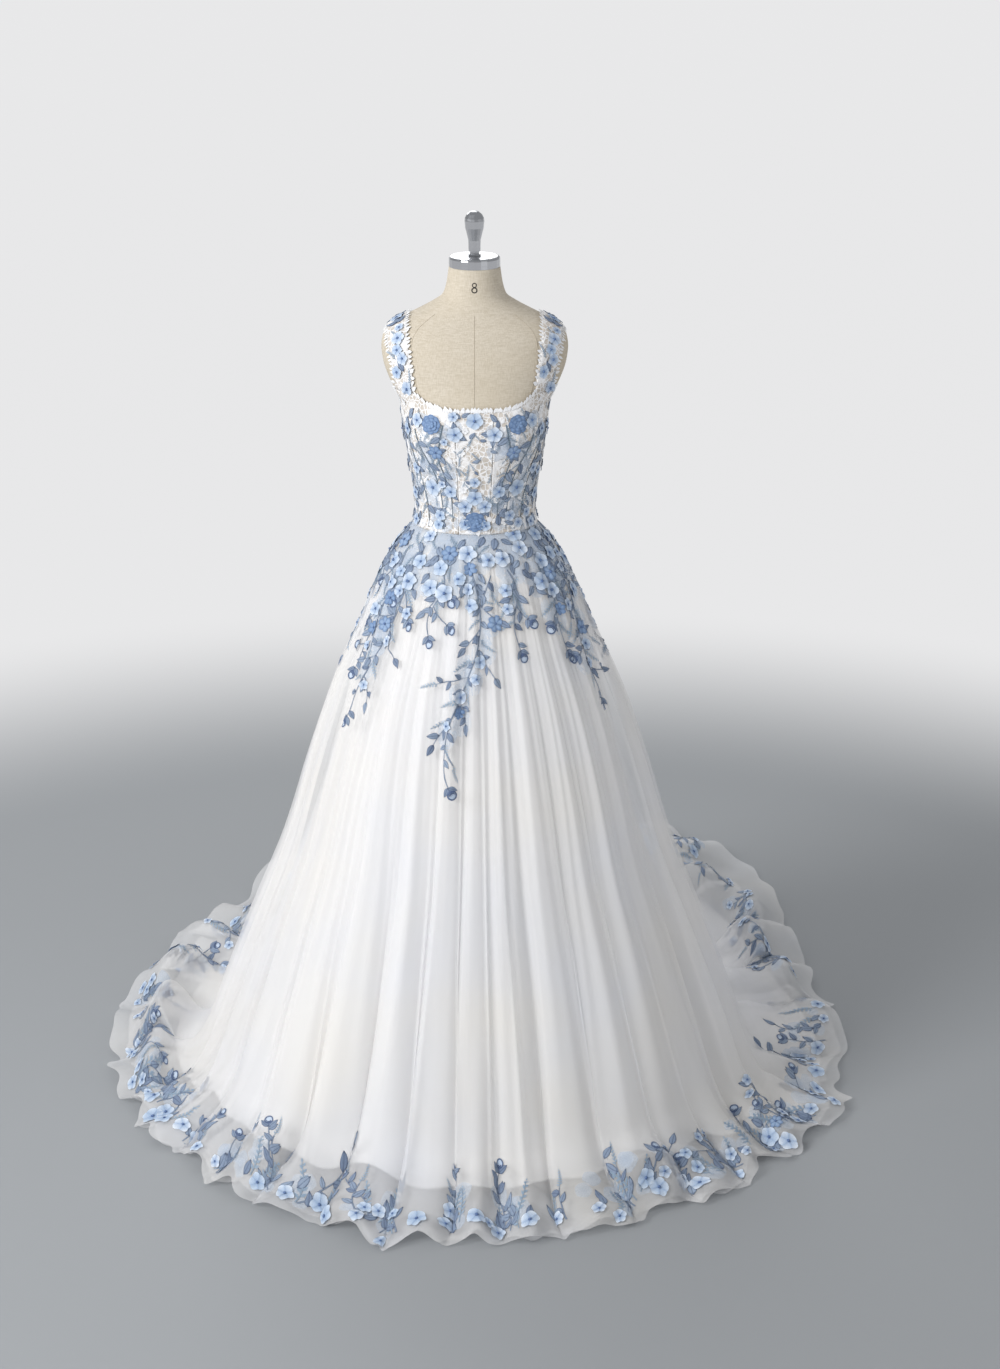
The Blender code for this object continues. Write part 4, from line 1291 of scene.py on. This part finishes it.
# Long sprays on the skirt: angle, row of the head, length, sway and lean
LONG_SPRAYS = [
    (-3, 1.2, 0.36, 0.024, -0.04),
    (-46, 1.0, 0.29, 0.012, -0.12),
    (-60, 0.8, 0.22, 0.010, -0.05),
    (48, 1.0, 0.16, 0.010, 0.10),
    (62, 0.8, 0.27, 0.012, 0.06),
    (22, 1.3, 0.12, 0.010, 0.05),
    (-22, 1.3, 0.10, 0.010, -0.04),
    (-96, 0.8, 0.24, 0.012, -0.04),
    (98, 0.8, 0.22, 0.012, 0.05),
    (-134, 0.8, 0.18, 0.012, 0.03),
    (136, 0.8, 0.20, 0.012, -0.03),
    (176, 0.8, 0.32, 0.016, 0.02),
]


PLURALS = {"leaf": "leaves", "patch": "patches", "lace": "lace_leaves"}


def sew_all(work, place, stands_for):
    """Sews every thread that waits, each as one piece."""
    for name in list(work.work):
        slot = "rose" if name in ("leaf", "stem", "dark_flower", "bud", "vine") else "petal"
        label = PLURALS.get(name, name + "s")
        work.sew(f"{place}_{label}", name, thread(name), slot, stands_for.get(name, ()))


# Flowers on one side of the bodice, mirrored to the other: angle, height, radius, dark
BODICE_FLOWERS = [
    (15, 1.302, 0.0140, False),
    (46, 1.322, 0.0125, False),
    (31, 1.268, 0.0130, True),
    (22, 1.196, 0.0120, False),
    (9, 1.170, 0.0125, False),
    (34, 1.150, 0.0110, False),
    (62, 1.300, 0.0120, False),
    (58, 1.230, 0.0110, False),
    (70, 1.180, 0.0120, False),
    (84, 1.290, 0.0120, False),
    (92, 1.220, 0.0120, False),
    (104, 1.160, 0.0120, False),
    (118, 1.300, 0.0125, False),
    (126, 1.210, 0.0120, False),
    (150, 1.160, 0.0120, False),
    (158, 1.280, 0.0120, False),
]
# The flowers that have their own solids, on one side: name, angle, height, radius
RAISED_FLOWERS = [
    ("bust", 56, 1.285, 0.018),
    ("rib", 40, 1.200, 0.016),
    ("back", 142, 1.245, 0.018),
]
# The three dark roses: name, angle, height, radius
ROSES = [
    ("neck_left", -33, 1.318, 0.017),
    ("neck_right", 33, 1.318, 0.017),
    ("waist", 0, 1.142, 0.018),
]
# Flowers down the middle of the front: height, radius
MIDDLE_FLOWERS = [
    (1.326, 0.0150),
    (1.186, 0.0140),
    (1.215, 0.0100),
]
# Stems that follow the boning: their thread, then angle and height from top to bottom
VINES = [
    ("vine", [(24, 1.318), (27, 1.285), (30, 1.255), (27, 1.225), (22, 1.19), (21, 1.14)]),
    ("vine", [(50, 1.305), (45, 1.27), (38, 1.235), (33, 1.20), (31, 1.16), (30, 1.125)]),
    ("vine", [(66, 1.30), (60, 1.25), (54, 1.21), (50, 1.17), (48, 1.125)]),
    ("stem", [(80, 1.31), (76, 1.25), (72, 1.20), (70, 1.15)]),
    ("stem", [(100, 1.31), (98, 1.25), (96, 1.19), (95, 1.14)]),
    ("stem", [(124, 1.33), (130, 1.26), (128, 1.20), (122, 1.14)]),
    ("stem", [(152, 1.31), (148, 1.25), (150, 1.20), (156, 1.14)]),
]


def smooth_path(points, count=24):
    points = np.asarray(points, float)
    at = np.linspace(0, len(points) - 1, count)
    keys = np.arange(len(points))
    return np.stack([curve(keys, points[:, k], at) for k in range(points.shape[1])], axis=1)


def bodice_work(work):
    """The bodice's needlework: much the same on both sides."""
    chance = work.random
    for side in (1, -1):
        for label, points in VINES:
            path = smooth_path(points)
            chart = BodiceChart(side * path[12, 0], path[12, 1])
            across = (side * path[:, 0] - chart.angle) * chart.spread
            flat = np.stack([across, path[:, 1] - chart.height], axis=1)
            work.stem(label, chart, flat, 0.0024)
            for k in range(3, 22, 5):
                way = math.degrees(math.atan2(*(flat[k + 1] - flat[k])[::-1]))
                out = chance.choice((-1, 1))
                work.leaf(chart, *flat[k], way + out * chance.uniform(35, 60),
                          chance.uniform(0.018, 0.025))
                work.twig(chart, *flat[k], way - out * chance.uniform(25, 60),
                          chance.uniform(0.016, 0.026))
        for angle, height, radius, dark in BODICE_FLOWERS:
            chart = BodiceChart(side * angle, height)
            flower(work, chart, 0, 0, radius, dark)
            for k in range(2):
                work.leaf(chart, 0, 0, chance.uniform(0, 360), radius * chance.uniform(1.5, 1.9))
            work.patch(chart, chance.uniform(-0.01, 0.01), chance.uniform(-0.01, 0.01), 0, 0.018, lift=0.0001)
    for height, radius in MIDDLE_FLOWERS:
        flower(work, BodiceChart(0, height), 0, 0, radius)
    for number in range(26):
        angle = -BACK_CLEAR + 2 * BACK_CLEAR * (number + chance.random()) / 26
        chart = BodiceChart(angle, chance.uniform(1.124, 1.136))
        work.leaf(chart, 0, 0, chance.uniform(20, 160), chance.uniform(0.016, 0.022))
        work.patch(chart, 0, 0.002, 0, 0.013, lift=0.0001)
        if number % 2:
            flower(work, chart, 0.008, 0.002, chance.uniform(0.009, 0.012))
    for number in range(90):
        angle = chance.uniform(15, BACK_CLEAR) * chance.choice((-1, 1))
        chart = BodiceChart(angle, chance.uniform(1.15, 1.30))
        work.patch(chart, 0, 0, chance.uniform(0, 360), chance.uniform(0.012, 0.020), lift=0.0001)
        work.twig(chart, 0, 0, chance.uniform(40, 140), chance.uniform(0.018, 0.028))
    for number in range(420):
        angle = chance.uniform(-BACK_CLEAR, BACK_CLEAR)
        top = float(neckline(angle))
        height = chance.uniform(WAIST_HEIGHT + 0.004, top - 0.006)
        chart = BodiceChart(angle, height)
        pick = chance.random()
        if pick < 0.5:
            work.put("lace", "lace_leaf", chart, 0, 0, chance.uniform(0, 360), chance.uniform(0.009, 0.015),
                     lift=0.0002, rise=0.0009)
        elif pick < 0.72:
            work.put("lace", "small", chart, 0, 0, chance.uniform(0, 360), chance.uniform(0.006, 0.009),
                     lift=0.0002, rise=0.0010)
        elif pick < 0.86:
            work.twig(chart, 0, 0, chance.uniform(40, 140), chance.uniform(0.012, 0.020))
        elif pick < 0.95:
            work.leaf(chart, 0, 0, chance.uniform(20, 160), chance.uniform(0.012, 0.020))
        else:
            flower(work, chart, 0, 0, chance.uniform(0.007, 0.010))
    for number in range(190):
        angle = -180 + 360 * number / 190
        if 44 < abs(angle) < 71 or 109 < abs(angle) < 136:
            continue
        work.put("lace", "lace_leaf", BodiceChart(angle, float(neckline(angle)) - 0.004), 0, 0,
                 90 + chance.uniform(-25, 25), chance.uniform(0.008, 0.012), lift=0.0, rise=0.0009)
    for number in range(18):
        chart = BodiceChart(chance.uniform(-14, 14), 1.192 + 0.0062 * number)
        work.twig(chart, 0, 0, chance.uniform(40, 140), chance.uniform(0.014, 0.021))
        if number % 3 == 1:
            work.leaf(chart, 0, 0, chance.uniform(0, 360), chance.uniform(0.010, 0.014))


def strap_work(work):
    chance = work.random
    chart = StrapChart()
    for at, way in ((STRAP_LENGTH * 0.5 - 0.030, 90), (STRAP_LENGTH * 0.5 + 0.030, -90)):
        for lean in (-58, 0, 58):
            work.leaf(chart, 0, at, way + lean, 0.018, lift=0.0014)
    y = 0.004
    while y < STRAP_LENGTH - 0.004:
        flower(work, chart, chance.uniform(-0.008, 0.008), y, chance.uniform(0.0075, 0.0115),
               dark=chance.random() < 0.06)
        if chance.random() < 0.45:
            work.leaf(chart, chance.uniform(-0.008, 0.008), y, chance.uniform(50, 130),
                      chance.uniform(0.013, 0.017))
        if chance.random() < 0.6:
            work.twig(chart, chance.uniform(-0.01, 0.01), y, chance.uniform(50, 130), 0.02)
        y += chance.uniform(0.013, 0.020)
    for number in range(44):
        for edge in (-1, 1):
            heading = 90 - edge * chance.uniform(60, 100)
            y = 0.003 + (STRAP_LENGTH - 0.006) * number / 43
            work.put("lace", "lace_leaf", chart, edge * 0.0145, y, heading, chance.uniform(0.006, 0.009),
                     lift=0.0, rise=0.0009)


# Settings that a user would change
def colour_choice(name, description, *value):
    return bpy.props.FloatVectorProperty(name=name, description=description, subtype="COLOR", size=3,
                                         min=0.0, max=1.0, default=srgb(*value))


class GownSettings(bpy.types.PropertyGroup):
    tulle_cover: bpy.props.FloatProperty(
        name="Tulle cover", description="How much of what lies behind one layer of tulle it hides",
        default=0.36, min=0.05, max=1.0, subtype="FACTOR")
    tulle_colour: colour_choice("Tulle", "Colour of the tulle where it is coolest", 246, 247, 251)
    satin_colour: colour_choice("Underskirt", "Colour of the underskirt where it is coolest", 247, 247, 249)
    linen_colour: colour_choice("Linen", "Colour of the dress form's paler threads", 214, 205, 190)
    leaf_colour: colour_choice("Leaves", "Colour of the embroidered leaves", *THREADS["leaf"][2])
    pale_flower_colour: colour_choice("Pale flowers", "Colour of the pale organza flowers",
                                      *THREADS["pale_flower"][2])
    dark_flower_colour: colour_choice("Dark flowers", "Colour of the dark flowers and roses",
                                      *THREADS["dark_flower"][2])
    floor_colour: colour_choice("Floor", "Colour of the studio floor round the gown", 160, 163, 166)
    bodice_wall: bpy.props.FloatProperty(
        name="Bodice wall", description="Thickness of the bodice panels", default=BODICE_WALL,
        min=0.0005, max=0.004, unit="LENGTH", precision=4)
    lining_wall: bpy.props.FloatProperty(
        name="Underskirt wall", description="Thickness of the underskirt", default=LINING_WALL,
        min=0.0003, max=0.003, unit="LENGTH", precision=4)
    hem_flower_radius: bpy.props.FloatProperty(
        name="Hem flower radius", description="Radius of the large flowers on the hem", default=0.018,
        min=0.008, max=0.03, unit="LENGTH", precision=4)


# Operators
class GOWN_OT_form(bpy.types.Operator):
    """Cover the dress form in linen and chrome"""
    bl_idname = "gown.form"
    bl_label = "Dress form"

    def execute(self, context):
        low, high = TORSO[0][0], TORSO[-1][0]

        def skin(across, down):
            return body(360 * across - 180, high - (high - low) * down)

        mesh = cloth_mesh("form_linen", 128, 150, skin, (0.9, high - low))
        bm = bmesh.new()
        bm.from_mesh(mesh)
        bmesh.ops.remove_doubles(bm, verts=bm.verts, dist=1e-5)
        bmesh.ops.holes_fill(bm, edges=[e for e in bm.edges if e.is_boundary])
        bm.to_mesh(mesh)
        bm.free()
        linen = finish_of("form_linen", linen_material, context.scene.gown)
        add_piece("form_linen", mesh, linen, ["form_torso"])
        chrome = finish_of("polished_chrome", metal_material, "polished_chrome", srgb(176, 178, 182), 0.20)
        steel = finish_of("stand_steel", metal_material, "stand_steel", srgb(176, 178, 182), 0.32)
        for metal, names in ((chrome, ("neck_cap", "neck_knob")), (steel, ("stand_pole", "stand_base"))):
            for name in names:
                paint_node(name, metal)
        work = Needlework({"ring": ring_part(0.62, 1.0, 24)}, lay_on_form, 3)
        for angle in (-138, -42, 0, 42, 138, 180):
            chart = BodiceChart(angle, 1.44)
            work.stem("seam", chart, [(0, y) for y in np.linspace(-0.11, 0.058, 40)], 0.0014, lift=0.0)
        chart = BodiceChart(0, 1.5445)
        for y, radius in ((0.0045, 0.0043), (-0.0042, 0.0052)):
            work.put("numeral", "ring", chart, 0, y, 90, radius, lift=0.0002, rise=0.0002)
        work.sew("form_seams", "seam", thread("seam"), "linen")
        work.sew("form_numeral", "numeral", thread("numeral"), "linen")
        return {"FINISHED"}


class GOWN_OT_bodice(bpy.types.Operator):
    """Lay the boned bodice, its straps and its placket over the form"""
    bl_idname = "gown.bodice"
    bl_label = "Bodice and straps"

    def execute(self, context):
        lace = finish_of("bodice_lace", lace_material)
        for name, (first, last) in BODICE_PANELS.items():
            inset = 0.1

            def shape(across, down, first=first + inset, last=last - inset):
                return bodice(first + (last - first) * across, 1 - down)

            size = (np.radians(last - first) * 0.118, 0.232)
            columns = max(last - first, 20)
            mesh = cloth_mesh(name + "_lace", columns, 60, shape, size)
            piece = add_piece(name + "_lace", mesh, lace, [name])
            declare_sheet(piece, columns, 60, "stretched", rests_on=["form_linen"])
            add_wall(piece, context.scene.gown.bodice_wall)
        for side, sign in (("right", 1), ("left", -1)):

            def shape(across, down, sign=sign):
                point = strap(across if sign > 0 else 1 - across, 1 - 2 * down)
                point[:, 0] *= sign
                return point

            name = f"strap_{side}"
            mesh = cloth_mesh(name + "_lace", 8, 80, shape, (0.033, 0.26))
            piece = add_piece(name + "_lace", mesh, lace, [name])
            declare_sheet(piece, 8, 80, "stretched", rests_on=["form_linen"])
            add_wall(piece, STRAP_WALL)
        satin = finish_of("lining_satin", satin_material, context.scene.gown)
        low, high = PLACKET_HEIGHTS

        def strip(across, down):
            angle = 180 + PLACKET_HALF_ANGLE * (2 * across - 1)
            return body(angle, high - (high - low) * down, EASE + BODICE_WALL + 2 * SEAM_GAP)

        mesh = cloth_mesh("back_placket_satin", 6, 80, strip, (0.012, high - low))
        piece = add_piece("back_placket_satin", mesh, satin, ["back_placket"])
        declare_sheet(piece, 6, 80, "stretched", rests_on=["bodice_back_left_lace", "bodice_back_right_lace"])
        add_wall(piece, PLACKET_WALL)
        covered = finish_of("button_satin", thread_material, "button_satin", srgb(226, 222, 215),
                            srgb(234, 230, 224), srgb(240, 237, 232), 0.35)
        for number in range(BUTTONS):
            paint_node(f"back_button_{number + 1}", covered)
        return {"FINISHED"}


class GOWN_OT_skirt(bpy.types.Operator):
    """Hang the underskirt and the tulle with its folds and train"""
    bl_idname = "gown.skirt"
    bl_label = "Skirt and train"

    def execute(self, context):
        settings = context.scene.gown
        satin = finish_of("lining_satin", satin_material, settings)
        net = finish_of("tulle_net", tulle_material, settings)
        for name, (first, last) in LINING_PANELS.items():

            def shape(across, down, first=first, last=last):
                return lining(first + (last - first) * across, (ROWS - 1) * down)

            width = np.radians(last - first) * (0.5 if name.endswith("front") else 0.9)
            columns = int(last - first)
            mesh = cloth_mesh(name + "_satin", columns, 110, shape, (width, 1.2))
            piece = add_piece(name + "_satin", mesh, satin, [name])
            declare_sheet(piece, columns, 110, "hung")
            add_wall(piece, settings.lining_wall)
        for name, (first, last) in TULLE_GORES.items():
            low, high = fold_angle(first / 4), fold_angle(last / 4)

            def shape(across, down, low=low, high=high):
                return tulle(low + (high - low) * across, ROWS * down)

            width = np.radians(high - low) * (0.65 if name.endswith("front") else 0.9)
            columns = (last - first) * 6
            mesh = cloth_mesh(name + "_net", columns, 156, shape, (width, 1.4))
            piece = add_piece(name + "_net", mesh, net, [name])
            declare_sheet(piece, columns, 156, "gathered")

            def shape_under(across, down, low=low, high=high):
                angle = low + (high - low) * across
                last_row = ROWS - UNDERLAYER_SHORT - 0.2 * wander(angle, 3.0, 4, 7, 12)
                return tulle(angle, last_row * down, np.ones_like(down))

            columns = (last - first) * 5
            mesh = cloth_mesh(name + "_underlayer", columns, 90, shape_under, (width, 1.4))
            piece = add_piece(name + "_underlayer", mesh, net, [name])
            declare_sheet(piece, columns, 90, "gathered")
        return {"FINISHED"}


class GOWN_OT_waist_sprays(bpy.types.Operator):
    """Sew the flowers and sprays that fall from the waist"""
    bl_idname = "gown.waist_sprays"
    bl_label = "Waist sprays"

    def execute(self, context):
        work = Needlework(make_motifs(), lay_on_tulle, 11)
        for phase in (-4, 4):
            flower(work, SkirtChart(float(fold_angle(phase)), WAIST_FLOWER_ROW), 0, 0, 0.017, lift=0.0016)
        waist_yoke(work)
        for angle, row, length, sway, lean in LONG_SPRAYS:
            hanging_spray(work, angle, row, length, sway, lean)
        sew_all(work, "waist", {"pale_flower": ["flower_waist_1", "flower_waist_2"]})
        return {"FINISHED"}


class GOWN_OT_hem_sprays(bpy.types.Operator):
    """Sew the band of sprays that stands on the hem"""
    bl_idname = "gown.hem_sprays"
    bl_label = "Hem sprays"

    def execute(self, context):
        work = Needlework(make_motifs(), lay_on_tulle, 23)
        radius = context.scene.gown.hem_flower_radius
        for number in range(HEM_FLOWERS):
            angle = float(fold_angle(round((number - 6.5) * FOLDS / HEM_FLOWERS)))
            flower(work, SkirtChart(angle, HEM_FLOWER_ROW), 0, 0, radius, lift=0.0016)
        hem_band(work)
        sew_all(work, "hem", {"pale_flower": [f"flower_hem_{k + 1}" for k in range(HEM_FLOWERS)]})
        return {"FINISHED"}


class GOWN_OT_bodice_work(bpy.types.Operator):
    """Sew the bodice's lace, vines, flowers and its three dark roses"""
    bl_idname = "gown.bodice_work"
    bl_label = "Bodice needlework"

    def execute(self, context):
        work = Needlework(make_motifs(), lay_on_bodice, 37)
        bodice_work(work)
        flowers = []
        for side, sign in (("left", -1), ("right", 1)):
            for name, angle, height, radius in RAISED_FLOWERS:
                flowers.append(f"flower_{name}_{side}")
                flower(work, BodiceChart(sign * angle, height), 0, 0, radius)
        roses = []
        for name, angle, height, radius in ROSES:
            roses.append(f"flower_rose_{name}")
            chart = BodiceChart(angle, height)
            work.put("dark_flower", "rose", chart, 0, 0, 90, radius, lift=0.001, rise=0.0026, tint=0.1)
        sew_all(work, "bodice", {"pale_flower": flowers, "dark_flower": roses})
        return {"FINISHED"}


class GOWN_OT_strap_work(bpy.types.Operator):
    """Sew the leaves and flowers of the straps"""
    bl_idname = "gown.strap_work"
    bl_label = "Strap needlework"

    def execute(self, context):
        motifs = make_motifs()
        for side, sign in (("right", 1), ("left", -1)):

            def lay(across, along, lift, sign=sign):
                point = lay_on_strap(across if sign > 0 else 1 - across, along, lift)
                point[:, 0] *= sign
                return point

            work = Needlework(motifs, lay, 51)
            strap_work(work)
            sew_all(work, f"strap_{side}", {})
        return {"FINISHED"}


class GOWN_OT_studio(bpy.types.Operator):
    """Set the pale floor, the soft lights and the camera"""
    bl_idname = "gown.studio"
    bl_label = "Studio"

    def execute(self, context):
        scene = context.scene
        bm = bmesh.new()
        bmesh.ops.create_circle(bm, cap_ends=True, segments=96, radius=FLOOR_RADIUS)
        bmesh.ops.translate(bm, verts=bm.verts, vec=(0, 0, -FLOOR_DROP))
        mesh = finished_mesh(bm, "studio_floor")
        floor = bpy.data.objects.new("studio_floor", mesh)
        scene.collection.objects.link(floor)
        mesh.materials.append(floor_material(scene.gown))
        world = bpy.data.worlds.new("studio")
        world.use_nodes = True
        tree = world.node_tree
        sky = tree.nodes["Background"]
        sky.inputs["Color"].default_value = (*srgb(243, 244, 246), 1)
        seen = add_node(tree, "ShaderNodeLightPath").outputs["Is Camera Ray"]
        tree.links.new(spread_value(tree, seen, 0, 1, 0.50, 0.90), sky.inputs["Strength"])
        scene.world = world
        for name, place, power, size, aim in LAMPS:
            lamp = bpy.data.lights.new(name, "AREA")
            lamp.energy = power
            lamp.size = size
            holder = bpy.data.objects.new(name, lamp)
            holder.location = place
            way = Vector((0, 0, aim)) - Vector(place)
            holder.rotation_euler = way.to_track_quat("-Z", "Y").to_euler()
            scene.collection.objects.link(holder)
        lens = bpy.data.cameras.new("camera")
        lens.lens = CAMERA_LENS
        lens.sensor_width = 36
        camera = bpy.data.objects.new("camera", lens)
        camera.location = CAMERA_PLACE
        camera.rotation_euler = (math.radians(CAMERA_TILT), 0, 0)
        scene.collection.objects.link(camera)
        scene.camera = camera
        scene.view_settings.view_transform = "Standard"
        scene.cycles.transparent_max_bounces = 32
        return {"FINISHED"}


# The sidebar panel and the run
class GOWN_PT_panel(bpy.types.Panel):
    """Lists the gown's settings and the buttons that build its pieces"""
    bl_idname = "GOWN_PT_panel"
    bl_label = "Gown"
    bl_space_type = "VIEW_3D"
    bl_region_type = "UI"
    bl_category = "Gown"

    def draw(self, context):
        for name in GownSettings.__annotations__:
            self.layout.prop(context.scene.gown, name)
        for operator in OPERATORS:
            self.layout.operator(operator.bl_idname)


OPERATORS = (GOWN_OT_form, GOWN_OT_bodice, GOWN_OT_skirt, GOWN_OT_waist_sprays, GOWN_OT_hem_sprays,
             GOWN_OT_bodice_work, GOWN_OT_strap_work, GOWN_OT_studio)
CLASSES = (GownSettings, *OPERATORS, GOWN_PT_panel)


def register():
    for each in CLASSES:
        bpy.utils.register_class(each)
    bpy.types.Scene.gown = bpy.props.PointerProperty(type=GownSettings)


def unregister():
    del bpy.types.Scene.gown
    for each in reversed(CLASSES):
        bpy.utils.unregister_class(each)


def main():
    register()
    for operator in OPERATORS:
        getattr(bpy.ops.gown, operator.bl_idname.split(".")[1])()
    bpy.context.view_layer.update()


if __name__ == "__main__":
    main()
